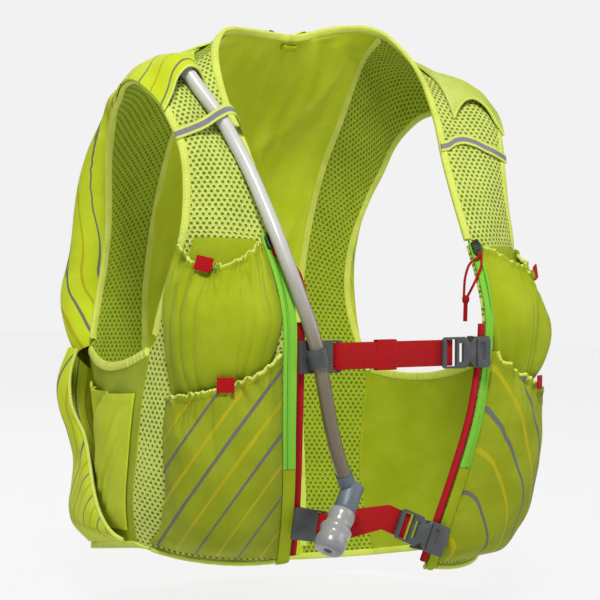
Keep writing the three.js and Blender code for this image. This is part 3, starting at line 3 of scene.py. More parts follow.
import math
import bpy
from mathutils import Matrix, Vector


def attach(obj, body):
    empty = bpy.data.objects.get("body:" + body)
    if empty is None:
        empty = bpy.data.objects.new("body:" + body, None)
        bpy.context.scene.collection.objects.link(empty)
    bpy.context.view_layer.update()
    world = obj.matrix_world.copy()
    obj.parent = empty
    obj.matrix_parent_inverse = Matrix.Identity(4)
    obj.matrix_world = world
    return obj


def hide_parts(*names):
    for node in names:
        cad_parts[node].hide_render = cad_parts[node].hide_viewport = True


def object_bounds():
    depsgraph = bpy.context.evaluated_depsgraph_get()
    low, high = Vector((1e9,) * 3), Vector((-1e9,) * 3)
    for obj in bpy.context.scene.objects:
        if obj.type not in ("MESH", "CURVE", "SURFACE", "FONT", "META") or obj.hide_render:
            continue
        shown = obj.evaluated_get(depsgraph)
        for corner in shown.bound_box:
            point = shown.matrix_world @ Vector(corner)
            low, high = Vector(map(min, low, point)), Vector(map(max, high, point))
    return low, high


bl_info = {
    "name": "Running Hydration Vest",
    "version": (1, 0, 0),
    "blender": (4, 5, 0),
    "location": "View3D > Sidebar > Vest",
    "description": "Builds a running hydration vest from cloth, webbing and moulded parts",
    "category": "Add Mesh",
}

import bmesh
import bpy
import numpy as np
from bpy.props import FloatProperty, FloatVectorProperty, PointerProperty
from mathutils import Matrix, Vector

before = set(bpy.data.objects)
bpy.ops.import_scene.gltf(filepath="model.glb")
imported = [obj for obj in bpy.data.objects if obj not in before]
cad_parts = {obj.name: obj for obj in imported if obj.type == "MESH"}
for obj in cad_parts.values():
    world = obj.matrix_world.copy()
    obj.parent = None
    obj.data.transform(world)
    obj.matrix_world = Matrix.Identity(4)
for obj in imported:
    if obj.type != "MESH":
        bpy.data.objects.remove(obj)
CAD_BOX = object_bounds()

MM = 0.001
RIGHT, LEFT = -1, 1
SIDES = ((RIGHT, "right"), (LEFT, "left"))

# Overall size of the garment, in millimetres
HALF_WIDTH = 165.0
CHEST_DEPTH = 265.0
LENGTH = 430.0

# Cloth, edges and depths, in millimetres
PANEL_CLOTH = 2.0
POCKET_CLOTH = 1.4
BINDING_WIDTH = 6.0
SEAM_HALF_WIDTH = 76.0
UPPER_POCKET_DEPTH = 29.0
LOWER_POCKET_DEPTH = 28.0
SIDE_POCKET_DEPTH = 4.0
BACK_POUCH_DEPTH = 35.0
BACK_POUCH_SPREAD = 30.0
STRETCH_POUCH_DEPTH = 31.0
SHOULDER_COVER_RISE = 3.5
HOSE_ARCH_RISE = 13.0
SEAT_ON_PANEL = 2.3
SEAT_ON_BINDING = 2.8
COVER_SEAT = 2.9
TAPE_SEAT = 3.2
KEEPER_WIDTH = 8.5
RAIL_INSET = 1.3
TAPE_INSET = 11.6
HOSE_DIAMETER = 11.0
CORD_DIAMETER = 2.0
BOUND_INSET = BINDING_WIDTH - 2.0
PLAIN_INSET = 0.6
SEAM_CLEARANCE = 0.3
PANEL_TUCK = 2.0
ELASTIC_ROOM = 6.5
GATHER_PITCH = 6.5
FACING_CLOTH = 1.1

# Squares across and along the grids of the larger pieces of cloth, with all pieces together
# under a million triangles. Across is even, so that patterns are centred on a line of points.
FRONT_GRID = (44, 190)
FLANK_GRID = (34, 160)
CENTRE_GRID = (120, 115)
SIDE_GRID = (70, 70)
POCKET_GRID = (140, 100)
COVER_GRID = (76, 76)
POUCH_GRID = (180, 95)
STRETCH_GRID = (180, 85)
SIDE_POCKET_GRID = (80, 80)

# Rows of the ribbon that the cloth follows, from the front hem over the shoulder to the
# back hem: inner x, y, z, outer x, y, z, bow, curl, ease and lift, as shares of the size
RIBBON_SHARES = np.array([
    [0.376, -0.268, -0.93, 0.958, -0.03, -0.912, 0.097, 0, 0, 0.016],
    [0.406, -0.313, -0.851, 1.006, -0.06, -0.837, 0.115, 0, 0, 0.009],
    [0.442, -0.355, -0.767, 1.018, -0.083, -0.763, 0.121, 0, 0, 0.005],
    [0.479, -0.392, -0.674, 1, -0.083, -0.674, 0.121, 0, 0, 0],
    [0.497, -0.411, -0.586, 0.97, -0.083, -0.591, 0.109, 0, 0, 0],
    [0.509, -0.415, -0.493, 0.964, -0.128, -0.493, 0.085, 0, 0, 0],
    [0.521, -0.37, -0.423, 0.952, -0.174, -0.423, 0.061, 0, 0, 0],
    [0.539, -0.298, -0.356, 0.927, -0.204, -0.349, 0.042, 0, 0, 0],
    [0.539, -0.234, -0.279, 0.909, -0.192, -0.279, 0.036, 0, 0, 0.005],
    [0.552, -0.158, -0.2, 0.915, -0.166, -0.209, 0.03, 0.006, 0, 0.005],
    [0.582, -0.075, -0.116, 0.958, -0.102, -0.135, 0.024, 0.018, 0, 0.002],
    [0.57, -0.004, -0.037, 1, -0.008, -0.091, 0.018, 0.03, 0, 0],
    [0.509, 0.049, 0.014, 0.985, 0.091, -0.09, 0.012, 0.036, 0, -0.005],
    [0.412, 0.102, 0.044, 0.942, 0.181, -0.106, 0.006, 0.036, 0.2, -0.014],
    [0.242, 0.151, 0.047, 0.897, 0.272, -0.119, 0.006, 0.024, 0.5, -0.014],
    [0, 0.174, 0.036, 0.848, 0.355, -0.156, 0.006, 0.012, 1, -0.005],
    [0, 0.294, -0.06, 0.818, 0.411, -0.209, 0, 0, 1, 0.005],
    [0, 0.408, -0.153, 0.782, 0.453, -0.263, 0, 0, 1, 0.005],
    [0, 0.498, -0.256, 0.745, 0.491, -0.337, 0, 0, 1, 0.005],
    [0, 0.555, -0.367, 0.739, 0.517, -0.414, 0, 0, 1, 0.005],
    [0, 0.585, -0.477, 0.764, 0.521, -0.486, 0, 0, 1, 0.009],
    [0, 0.592, -0.581, 0.818, 0.479, -0.581, 0, 0, 1, 0.021],
    [0, 0.577, -0.686, 0.788, 0.464, -0.684, 0, 0, 1, 0.019],
    [0, 0.551, -0.802, 0.764, 0.449, -0.802, 0, 0, 1, 0.019],
    [0, 0.521, -0.972, 0.824, 0.415, -0.958, 0, 0, 1, 0.023],
])
RIBBON_UNITS = np.array([
    HALF_WIDTH, CHEST_DEPTH, LENGTH, HALF_WIDTH, CHEST_DEPTH, LENGTH, HALF_WIDTH, HALF_WIDTH, 1, LENGTH,
])
RIBBON = RIBBON_SHARES * RIBBON_UNITS
LAST_ROW = len(RIBBON) - 1
PADDED = np.vstack([2 * RIBBON[0] - RIBBON[1], RIBBON, 2 * RIBBON[-1] - RIBBON[-2]])

# Places along the ribbon, in rows
ZIP_END_ROW = 2.15
SIDE_TOP_FRONT_ROW = 4.45
RAIL_TOP_ROW = 4.95
ZIP_TOP_ROW = 7.0
KEEPER_ROW = 9.33
SHOULDER_SEAM_ROW = 11.5
COVER_BACK_ROW = 12.9
SEAM_START_ROW = 12.95
COLLAR_ROW = 15
SIDE_TOP_BACK_ROW = 21.0
SIDE_DIP = 0.033
SIDE_BOW = 0.036

INNER_COLUMNS = np.arange(10) < 3
ACROSS_COLLAR = RIBBON[COLLAR_ROW - 1] * np.where(np.arange(10) == 0, -1, 1)
ABOVE_COLLAR = 2 * RIBBON[COLLAR_ROW] - RIBBON[COLLAR_ROW + 1]


def unit(vectors):
    """Vectors of length one."""
    return vectors / np.maximum(np.linalg.norm(vectors, axis=-1, keepdims=True), 1e-9)


def lerp(a, b, t):
    """The value a share t of the way from a to b."""
    return a + (b - a) * t


def smoothstep(x, low, high):
    """A soft step from 0 at low to 1 at high."""
    t = np.clip((x - low) / (high - low), 0, 1)
    return t * t * (3 - 2 * t)


def ribbon_row(row):
    """Values of one row of the ribbon at any place between the rows of the table."""
    row = np.clip(np.asarray(row, float), 0, LAST_ROW)
    i = np.minimum(np.floor(row).astype(int), LAST_ROW - 1)
    f = (row - i)[..., None]
    a, b, c, d = (PADDED[i + k] for k in range(4))
    a = np.where((i == COLLAR_ROW)[..., None] & INNER_COLUMNS, ABOVE_COLLAR, a)
    d = np.where((i == COLLAR_ROW - 1)[..., None] & INNER_COLUMNS, ACROSS_COLLAR, d)
    bend = 2 * a - 5 * b + 4 * c - d
    twist = 3 * b - a - 3 * c + d
    return 0.5 * (2 * b + (c - a) * f + bend * f**2 + twist * f**3)


def ribbon_face(s, row):
    """Inside face of the cloth on the left half."""
    s, row = np.broadcast_arrays(np.asarray(s, float), np.asarray(row, float))
    r = ribbon_row(row)
    span = r[..., 3:6] - r[..., 0:3]
    eased = s + r[..., 8] * (s * s - s)
    point = r[..., 0:3] + span * np.stack([s, eased, eased], -1)
    ahead, behind = ribbon_row(row + 0.05), ribbon_row(row - 0.05)
    along = ahead[..., 0:3] + ahead[..., 3:6] - behind[..., 0:3] - behind[..., 3:6]
    outward = unit(np.cross(span, along))
    rise = r[..., 6] * 4 * s * (1 - s) - r[..., 7] * np.sin(2 * np.pi * s)
    return point + outward * rise[..., None]


def ribbon_normal(s, row):
    """Outward direction of the left half."""
    s, row = np.broadcast_arrays(np.asarray(s, float), np.asarray(row, float))
    across = ribbon_face(np.minimum(s + 0.01, 1), row) - ribbon_face(np.maximum(s - 0.01, 0), row)
    along = ribbon_face(s, row + 0.05) - ribbon_face(s, row - 0.05)
    return unit(np.cross(across, along))


def settle(side, point, lift):
    """Mirrors points of the left half to their side and lifts the right side a little."""
    x = point[..., 0] * side
    z = point[..., 2] - lift * x / np.hypot(x, 0.25 * HALF_WIDTH)
    return np.stack([x, point[..., 1], z], -1)


def on_ribbon(side, s, row, height=0.0):
    """Points at a share across a row, at a height above the inside face."""
    s, row = np.broadcast_arrays(np.asarray(s, float), np.asarray(row, float))
    height = np.asarray(height, float)[..., None]
    point = ribbon_face(s, row) + ribbon_normal(s, row) * height
    return settle(side, point, ribbon_row(row)[..., 9])


def outward_on_ribbon(side, s, row):
    """Outward directions on either side."""
    normal = ribbon_normal(s, row)
    return np.stack([normal[..., 0] * side, normal[..., 1], normal[..., 2]], -1)


def inset_share(end, row, distance):
    """Share of a row that lies a distance inside the edge at its end 0 or 1."""
    row = np.asarray(row, float)
    step = 0.02
    inside = end + (step if end == 0 else -step)
    across = (ribbon_face(inside, row) - ribbon_face(end, row)) / step
    along = unit(ribbon_face(end, row + 0.1) - ribbon_face(end, row - 0.1))
    return distance / np.linalg.norm(np.cross(across, along), axis=-1)


def side_front_row(v):
    """Ribbon row at the front edge of the side panel."""
    return SIDE_TOP_FRONT_ROW * v


def side_back_row(v):
    """Ribbon row at the back edge of the side panel."""
    return LAST_ROW - (LAST_ROW - SIDE_TOP_BACK_ROW) * v


def side_face(s, v):
    """Inside face of the left side panel, from its front edge to its back edge."""
    s, v = np.broadcast_arrays(np.asarray(s, float), np.asarray(v, float))
    front = ribbon_row(side_front_row(v))[..., 3:6]
    back = ribbon_row(side_back_row(v))[..., 3:6]
    across = back - front
    outward = unit(np.cross(across, np.array([0.0, 0.0, 1.0])))
    swell = 4 * s * (1 - s)
    point = front + across * s[..., None] + outward * (SIDE_BOW * HALF_WIDTH * swell)[..., None]
    point[..., 2] -= SIDE_DIP * LENGTH * swell * v**4
    return point


def side_normal(s, v):
    """Outward direction of the left side panel."""
    s, v = np.broadcast_arrays(np.asarray(s, float), np.asarray(v, float))
    across = side_face(np.minimum(s + 0.02, 1), v) - side_face(np.maximum(s - 0.02, 0), v)
    upward = side_face(s, np.minimum(v + 0.02, 1)) - side_face(s, np.maximum(v - 0.02, 0))
    return unit(np.cross(across, upward))


def side_lift(s, v):
    """Lift of the side panel between its two edges."""
    return lerp(ribbon_row(side_front_row(v))[..., 9], ribbon_row(side_back_row(v))[..., 9], s)


def on_side(side, s, v, height=0.0):
    """Points on a side panel at a height above its inside face."""
    s, v = np.broadcast_arrays(np.asarray(s, float), np.asarray(v, float))
    height = np.asarray(height, float)[..., None]
    point = side_face(s, v) + side_normal(s, v) * height
    return settle(side, point, side_lift(s, v))


def on_lower_wrap(side, q, v, height):
    """The lower back and the side in one stretch, from the middle of the back to the front."""
    blend = smoothstep(q, 0.7, 1.3)[..., None]
    back_row = side_back_row(v)
    on_back, past = np.minimum(q, 1), np.clip(2 - q, 0, 1)
    normal = unit(ribbon_normal(on_back, back_row) * (1 - blend) + side_normal(past, v) * blend)
    behind = (q <= 1)[..., None]
    point = np.where(behind, ribbon_face(on_back, back_row), side_face(past, v))
    lift = np.where(q <= 1, ribbon_row(back_row)[..., 9], side_lift(past, v))
    return settle(side, point + normal * np.asarray(height)[..., None], lift)


def back_seam(row):
    """Share of a row at the seam of the centre panel."""
    r = ribbon_row(row)
    return np.clip((SEAM_HALF_WIDTH - r[..., 0]) / (r[..., 3] - r[..., 0]), 0, 1)


def middle_row(turn):
    """Row down the middle of the back."""
    return lerp(COLLAR_ROW, LAST_ROW, turn)


def seam_row(turn):
    """Row down the seam of the centre panel."""
    return middle_row(turn) - (COLLAR_ROW - SEAM_START_ROW) * (1 - turn) ** 3


def read_table(rows, place, column):
    """Smooth value of a column of a table at places between its rows."""
    xs, ys = rows[:, 0], rows[:, column]
    place = np.asarray(place, float)
    slopes = np.gradient(ys, xs)
    i = np.clip(np.searchsorted(xs, place, side="right") - 1, 0, len(xs) - 2)
    width = xs[i + 1] - xs[i]
    t = np.clip((place - xs[i]) / width, 0, 1)
    rise = ys[i + 1] - ys[i]
    low, high = slopes[i] * width, slopes[i + 1] * width
    return ys[i] + t * low + t**2 * (3 * rise - 2 * low - high) + t**3 * (low + high - 2 * rise)


def waves(x, y, seed, octaves=6):
    """Soft seeded noise of about -1 to 1 over a plane whose unit is one ripple."""
    draw = np.random.default_rng(seed)
    total = np.zeros(np.broadcast(x, y).shape)
    for _ in range(octaves):
        angle, pace, start = draw.uniform(0, 2 * np.pi), draw.uniform(0.5, 1.6), draw.uniform(0, 6.3)
        total += np.sin(2 * np.pi * pace * (x * np.cos(angle) + y * np.sin(angle)) + start)
    return total / math.sqrt(octaves)


def gathers(along, below, pitch, depth, reach, seed):
    """Folds that start at an elastic edge and die out below it."""
    wander = 0.5 * pitch * waves(along / (5 * pitch), below / (7 * pitch), seed)
    crest = 0.5 + 0.5 * np.cos(2 * np.pi * (along + wander) / pitch)
    strength = np.clip(0.65 + 0.45 * waves(along / (3 * pitch), below / (20 * pitch), seed + 1), 0.1, 1.3)
    return depth * (crest**1.4 - 0.4) * strength * np.exp(-np.maximum(below, 0) / reach)


def folds_along(across, along, pitch, depth, seed):
    """Sharp-backed folds that run on, with valleys that reach inwards."""
    wander = 0.45 * pitch * waves(across / (4 * pitch), along / (5 * pitch), seed)
    place = (across + wander) / pitch
    ridge = np.abs(np.sin(np.pi * place)) ** 0.7
    strength = np.clip(0.6 + 0.6 * waves(across / (2.5 * pitch), along / (6 * pitch), seed + 1), 0.0, 1.4)
    return -depth * (1 - ridge) * strength


class Value:
    """A socket that can be used in shader maths."""

    def __init__(self, finish, socket):
        self.finish = finish
        self.socket = socket

    def __add__(self, other):
        return self.finish.maths("ADD", self, other)

    def __sub__(self, other):
        return self.finish.maths("SUBTRACT", self, other)

    def __rsub__(self, other):
        return self.finish.maths("SUBTRACT", other, self)

    def __mul__(self, other):
        return self.finish.maths("MULTIPLY", self, other)

    def __truediv__(self, other):
        return self.finish.maths("DIVIDE", self, other)


class Finish:
    """One material and the nodes that paint it."""

    def __init__(self, name, **uniform):
        self.material = bpy.data.materials.new(name)
        self.material.use_nodes = True
        self.tree = self.material.node_tree
        self.shader = self.tree.nodes["Principled BSDF"]
        for key, value in uniform.items():
            socket = key.replace("_", " ").title().replace("Ior", "IOR")
            self.shader.inputs[socket].default_value = value

    def node(self, kind, settings, inputs, output=0):
        node = self.tree.nodes.new(kind)
        for key, value in settings.items():
            setattr(node, key, value)
        for key, value in inputs.items():
            if isinstance(value, Value):
                self.tree.links.new(value.socket, node.inputs[key])
            else:
                node.inputs[key].default_value = value
        return Value(self, node.outputs[output])

    def maths(self, operation, first, second=0.0):
        return self.node("ShaderNodeMath", {"operation": operation}, {0: first, 1: second})

    def fraction(self, value):
        return self.maths("FRACT", value)

    def sine(self, value):
        return self.maths("SINE", value)

    def magnitude(self, value):
        return self.maths("ABSOLUTE", value)

    def ramp(self, value, low, high, start=0.0, end=1.0):
        settings = {"interpolation_type": "SMOOTHSTEP"}
        inputs = {"Value": value, "From Min": low, "From Max": high, "To Min": start, "To Max": end}
        return self.node("ShaderNodeMapRange", settings, inputs)

    def split(self, vector):
        first = self.node("ShaderNodeSeparateXYZ", {}, {0: vector})
        return [Value(self, socket) for socket in first.socket.node.outputs]

    def cloth_place(self):
        """The place on the cloth in metres, and its parts across and along."""
        place = self.node("ShaderNodeUVMap", {"uv_map": "cloth"}, {})
        across, along, _ = self.split(place)
        return place, across, along

    def solid_place(self):
        return self.node("ShaderNodeTexCoord", {}, {}, output="Object")

    def noise(self, vector, scale, detail=2.0):
        settings = {"noise_dimensions": "3D"}
        return self.node("ShaderNodeTexNoise", settings, {"Vector": vector, "Scale": scale, "Detail": detail})

    def mix(self, factor, first, second):
        node = self.tree.nodes.new("ShaderNodeMix")
        node.data_type = "RGBA"
        for key, value in ((0, factor), (6, first), (7, second)):
            if isinstance(value, Value):
                self.tree.links.new(value.socket, node.inputs[key])
            else:
                node.inputs[key].default_value = value
        return Value(self, node.outputs[2])

    def paint(self, colour, roughness=None, height=None, strength=0.3, distance=0.0006):
        self.tree.links.new(colour.socket, self.shader.inputs["Base Color"])
        if roughness is not None:
            self.tree.links.new(roughness.socket, self.shader.inputs["Roughness"])
        if height is not None:
            inputs = {"Height": height, "Strength": strength, "Distance": distance}
            bump = self.node("ShaderNodeBump", {}, inputs)
            self.tree.links.new(bump.socket, self.shader.inputs["Normal"])
        return self.material


def opaque(colour, share=1.0):
    """A colour with full alpha, made lighter or darker by a share."""
    return tuple(channel * share for channel in colour[:3]) + (1.0,)


def weave_height(finish, across, along, pitch):
    """Height of a plain weave."""
    turns = 2 * math.pi / pitch
    return finish.sine(across * turns) * finish.sine(along * turns)


def smooth_cloth(name, colour, pale):
    """Thin stretch cloth with a fine weave and soft creases."""
    f = Finish(name, specular_ior_level=0.15, roughness=0.72, sheen_weight=0.04, sheen_roughness=0.4)
    place, across, along = f.cloth_place()
    tone = f.noise(place, 28.0, 4.0)
    fine = f.noise(place, 900.0, 2.0)
    colour = f.mix(f.ramp(tone, 0.3, 0.75), opaque(colour), opaque(pale))
    colour = f.mix(f.ramp(fine, 0.35, 0.8, 0.0, 0.18), colour, (0.1, 0.14, 0.01, 1))
    height = weave_height(f, across, along, 0.0011) * 0.35 + f.noise(place, 60.0, 5.0) * 2.6
    return f.paint(colour, f.ramp(tone, 0.2, 0.8, 0.78, 0.66), height, 0.5, 0.0011)


def spacer_mesh(name, light, knit, hole, pitch):
    """Warp-knitted spacer mesh with staggered open holes, with painted shade inside the holes and a painted
    highlight round their rims.
    """
    f = Finish(name, specular_ior_level=0.15, roughness=0.85, sheen_weight=0.04)
    place, across, along = f.cloth_place()
    wobble = f.noise(place, 90.0, 1.0) * 0.16
    across = across / pitch + wobble
    along = along / (pitch * 0.8)
    odd = f.ramp(f.fraction(along * 0.5), 0.495, 0.505)
    in_cell_x = (f.fraction(across + odd * 0.5) - 0.5) * 1.0
    in_cell_y = (f.fraction(along) - 0.5) * 0.8
    reach = f.maths("SQRT", in_cell_x * in_cell_x + in_cell_y * in_cell_y)
    size = f.ramp(f.noise(place, 45.0, 2.0), 0.3, 0.7, 0.23, 0.29)
    open_part = 1.0 - f.ramp(reach / size, 0.72, 1.15)
    # A lighter ring round each hole: painted highlight on the raised rim.
    rim = f.ramp(reach / size, 0.9, 1.3) * (1.0 - f.ramp(reach / size, 1.3, 1.8))
    thread = f.noise(place, 1400.0, 2.0)
    ground = f.mix(f.ramp(thread, 0.3, 0.7), opaque(knit), opaque(light))
    ground = f.mix(rim * 0.5, ground, opaque(light))
    # The holes take a darker colour: painted shade inside them.
    colour = f.mix(open_part, ground, opaque(hole))
    height = (1.0 - open_part) * 1.6 + thread * 0.5 + rim * 0.5
    return f.paint(colour, f.ramp(open_part, 0.0, 1.0, 0.8, 0.95), height, 0.7, 0.0012)


def striped_cloth(name, colour, pale, grey, yellow, slant, spacing):
    """Stretch cloth with thin grey and yellow stripes in turn."""
    f = Finish(name, specular_ior_level=0.15, roughness=0.7, sheen_weight=0.04, sheen_roughness=0.4)
    place, across, along = f.cloth_place()
    drift = (f.noise(place, 6.0, 1.0) - 0.5) * 0.12
    turn = (across * math.cos(slant) + along * math.sin(slant)) / spacing + drift
    lane = f.magnitude(f.fraction(turn) - 0.5) * 2.0
    swell = f.ramp(f.noise(place, 7.0, 1.0), 0.35, 0.7, 0.11, 0.22)
    line = 1.0 - f.ramp(lane / swell, 0.75, 1.1)
    second = f.ramp(f.fraction(turn * 0.5), 0.49, 0.51)
    tone = f.noise(place, 28.0, 4.0)
    ground = f.mix(f.ramp(tone, 0.3, 0.75), opaque(colour), opaque(pale))
    stripe = f.mix(second, opaque(grey), opaque(yellow))
    colour = f.mix(line * 0.92, ground, stripe)
    height = weave_height(f, across, along, 0.0011) * 0.35 + f.noise(place, 60.0, 5.0) * 2.4
    return f.paint(colour, f.ramp(line, 0.0, 1.0, 0.74, 0.5), height, 0.5, 0.0011)


def edge_cloth(name, colour, stitch):
    """Folded elastic binding with a line of stitches along its inner edge."""
    f = Finish(name, specular_ior_level=0.15, roughness=0.75, sheen_weight=0.04)
    place, across, along = f.cloth_place()
    ribs = f.sine(along * (2 * math.pi / 0.0012))
    row = f.magnitude(across - 0.0042)
    dash = f.ramp(f.sine(along * (2 * math.pi / 0.0032)), -0.2, 0.2)
    seam = (1.0 - f.ramp(row, 0.0002, 0.0006)) * dash
    tone = f.noise(place, 60.0, 3.0)
    shade = (colour[0] * 0.72, colour[1] * 0.76, colour[2] * 0.5, 1)
    base = f.mix(f.ramp(tone, 0.3, 0.75, 0.0, 0.5), opaque(colour), shade)
    colour = f.mix(seam * 0.7, base, opaque(stitch))
    height = ribs * 0.3 + seam * 1.3 + tone
    return f.paint(colour, None, height, 0.5, 0.0006)


def woven_red(name, colour, dark, pitch):
    """Woven webbing with ribs across and threads along."""
    f = Finish(name, specular_ior_level=0.15, roughness=0.7, sheen_weight=0.03)
    place = f.solid_place()
    x, y, z = f.split(place)
    ribs = f.sine(x * (2 * math.pi / pitch))
    lanes = f.sine(z * (2 * math.pi / (pitch * 1.4)))
    weave = f.ramp(ribs * lanes, -0.8, 0.9)
    fibre = f.noise(place, 1500.0, 2.0)
    colour = f.mix(f.ramp(weave + (fibre - 0.5) * 0.6, 0.0, 1.0), opaque(dark), opaque(colour))
    return f.paint(colour, f.ramp(fibre, 0.2, 0.8, 0.62, 0.8), weave * 1.2 + fibre * 0.5, 0.7, 0.0007)


def moulded_plastic(name, colour):
    """Moulded nylon with a fine grain and paler edges where it rubs."""
    f = Finish(name, roughness=0.42)
    place = f.solid_place()
    grain = f.noise(place, 1800.0, 2.0)
    worn = f.noise(place, 90.0, 4.0)
    colour = f.mix(f.ramp(worn, 0.45, 0.8, 0.0, 0.6), opaque(colour), opaque(colour, 1.7))
    return f.paint(colour, f.ramp(worn, 0.3, 0.8, 0.36, 0.5), grain, 0.25, 0.0003)


def painted_metal(name, colour):
    """Dark painted metal with fine scratches."""
    f = Finish(name, roughness=0.34, metallic=0.7)
    place = f.solid_place()
    scratch = f.noise(place, 700.0, 4.0)
    colour = f.mix(f.ramp(scratch, 0.5, 0.8), opaque(colour), opaque(colour, 2.6))
    return f.paint(colour, f.ramp(scratch, 0.3, 0.8, 0.25, 0.5), scratch, 0.2, 0.0002)


def soft_tube(name, pale, warm):
    """Soft clear tube, milky and pale at the top and darker and warmer lower down."""
    f = Finish(name, roughness=0.2, coat_weight=0.3, coat_roughness=0.1, transmission_weight=0.12)
    place = f.solid_place()
    _, _, z = f.split(place)
    cloudy = f.noise(place, 26.0, 3.0)
    full = 1.0 - f.ramp(z, -0.32, -0.06)
    colour = f.mix(f.ramp(full + (cloudy - 0.5) * 0.25, 0.1, 0.9), opaque(pale), opaque(warm))
    return f.paint(colour, f.ramp(cloudy, 0.3, 0.7, 0.18, 0.3), cloudy, 0.1, 0.0004)


def milky_rubber(name, colour, shade):
    """Soft cloudy rubber."""
    f = Finish(name, roughness=0.3, coat_weight=0.35, coat_roughness=0.15)
    place = f.solid_place()
    cloudy = f.noise(place, 34.0, 1.0)
    colour = f.mix(f.ramp(cloudy, 0.35, 0.75, 0.0, 0.7), opaque(colour), opaque(shade))
    return f.paint(colour, f.ramp(cloudy, 0.3, 0.8, 0.24, 0.36), cloudy, 0.05, 0.0003)


def reflective_band(name, grey, edge, half):
    """Woven band with a reflective middle between two cloth edges."""
    f = Finish(name, roughness=0.5)
    _, across, along = f.cloth_place()
    off = f.magnitude(along - half)
    middle = 1.0 - f.ramp(off, half * 0.5, half * 0.56)
    weave = weave_height(f, across, along, 0.0009)
    silver = f.mix(f.ramp(weave, -1.0, 1.0), opaque(grey), opaque(grey, 1.5))
    colour = f.mix(middle, opaque(edge), silver)
    return f.paint(colour, f.ramp(middle, 0.0, 1.0, 0.75, 0.38), weave + middle, 0.5, 0.0004)


def braided_rail(name, dark, bright):
    """Round woven piping, brighter along its middle with a painted highlight."""
    f = Finish(name, specular_ior_level=0.15, roughness=0.6, sheen_weight=0.03)
    _, across, along = f.cloth_place()
    slanted = f.sine((along + across * 1.3) * (2 * math.pi / 0.0016))
    crossed = f.sine((along - across * 1.3) * (2 * math.pi / 0.0016))
    braid = f.ramp(slanted * crossed, -0.7, 0.7)
    # Lighter bands along the piping: painted highlight.
    band = f.ramp(f.sine(across * (2 * math.pi / 0.009)), -0.5, 0.7)
    colour = f.mix(band, opaque(dark), opaque(bright))
    colour = f.mix(braid * 0.35, colour, opaque(dark, 0.4))
    return f.paint(colour, None, braid, 0.5, 0.0005)


def zip_cloth(name, colour, dark, line):
    """Woven zip tape with its closed coil under the cloth."""
    f = Finish(name, specular_ior_level=0.15, roughness=0.6, sheen_weight=0.03)
    _, across, along = f.cloth_place()
    coil = 1.0 - f.ramp(f.magnitude(across - line), 0.0003, 0.0009)
    ribs = f.sine(along * (2 * math.pi / 0.0014))
    columns = f.sine(across * (2 * math.pi / 0.0018))
    weave = f.ramp(ribs * columns, -0.9, 0.9)
    colour = f.mix(weave * 0.35, opaque(colour), opaque(dark))
    colour = f.mix(coil * 0.9, colour, opaque(dark, 0.35))
    return f.paint(colour, None, weave - coil * 1.5, 0.6, 0.0005)


def stage_finish(name, glow):
    """Evenly lit floor with a faint grain."""
    f = Finish(name, roughness=0.9)
    place = f.solid_place()
    grain = f.noise(place, 40.0, 2.0)
    colour = f.mix(f.ramp(grain, 0.2, 0.8), (0.02, 0.02, 0.02, 1), (0.025, 0.025, 0.025, 1))
    f.shader.inputs["Emission Color"].default_value = (1, 1, 1, 1)
    f.shader.inputs["Emission Strength"].default_value = glow
    return f.paint(colour)


FINISHES = {}


def colours():
    """The colour properties of the scene."""
    return bpy.context.scene.vest_colours


def sizes():
    """The size properties of the scene."""
    return bpy.context.scene.vest_sizes


def finish(name, make, *values):
    """A material that is made once and then shared."""
    if name not in FINISHES:
        FINISHES[name] = make(name, *values)
    return FINISHES[name]


def lime():
    """Finish of the smooth cloth."""
    c = colours()
    return finish("lime_cloth_finish", smooth_cloth, c.lime, c.lime_pale)


def lit_back_lime():
    """Finish of the smooth cloth at the back, in a lighter copy of the lime that is painted light."""
    c = colours()
    return finish("back_cloth_finish", smooth_cloth, c.lit_back_lime, c.lit_back_pale)


def mesh_cloth():
    """Finish of the mesh at the front."""
    c = colours()
    s = sizes()
    return finish("spacer_mesh_finish", spacer_mesh, c.mesh_light, c.mesh_knit, c.mesh_hole_shade, s.hole_pitch)


def shaded_flank_cloth():
    """Finish of the mesh at the back, in darker copies of the mesh colours that are painted shade."""
    c = colours()
    s = sizes()
    return finish("flank_mesh_finish", spacer_mesh, c.flank_face_shaded, c.flank_knit_shaded, c.mesh_hole_shade, s.hole_pitch)


def striped(name, slant, bright=True):
    """Finish of striped cloth with a slant in radians, on a lighter copy of the lime that is painted light
    when bright, or else on a darker copy that is painted shade.
    """
    c = colours()
    s = sizes()
    # Bright takes the lighter lime, painted light; otherwise the darker lime, painted shade.
    ground = (c.lit_back_lime, c.lit_back_pale) if bright else (c.shaded_pocket_lime, c.shaded_pocket_pale)
    return finish(name, striped_cloth, *ground, c.stripe_grey, c.stripe_yellow, slant, s.stripe_spacing)


def edging():
    """Finish of the bindings."""
    c = colours()
    return finish("binding_finish", edge_cloth, c.binding, c.stitch)


def red_weave():
    """Finish of the red webbing."""
    c = colours()
    return finish("webbing_finish", woven_red, c.webbing, c.webbing_dark, 0.0019)


def plastic():
    """Finish of the hardware."""
    return finish("plastic_finish", moulded_plastic, colours().plastic)


def place_piece(obj, material, nodes):
    """Links a piece to the scene, to its finish and to the body, and hides the nodes it stands for."""
    if obj.name not in bpy.context.scene.collection.all_objects:
        bpy.context.scene.collection.objects.link(obj)
    obj.data.materials.clear()
    obj.data.materials.append(material)
    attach(obj, "root")
    if nodes:
        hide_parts(*nodes)
    return obj


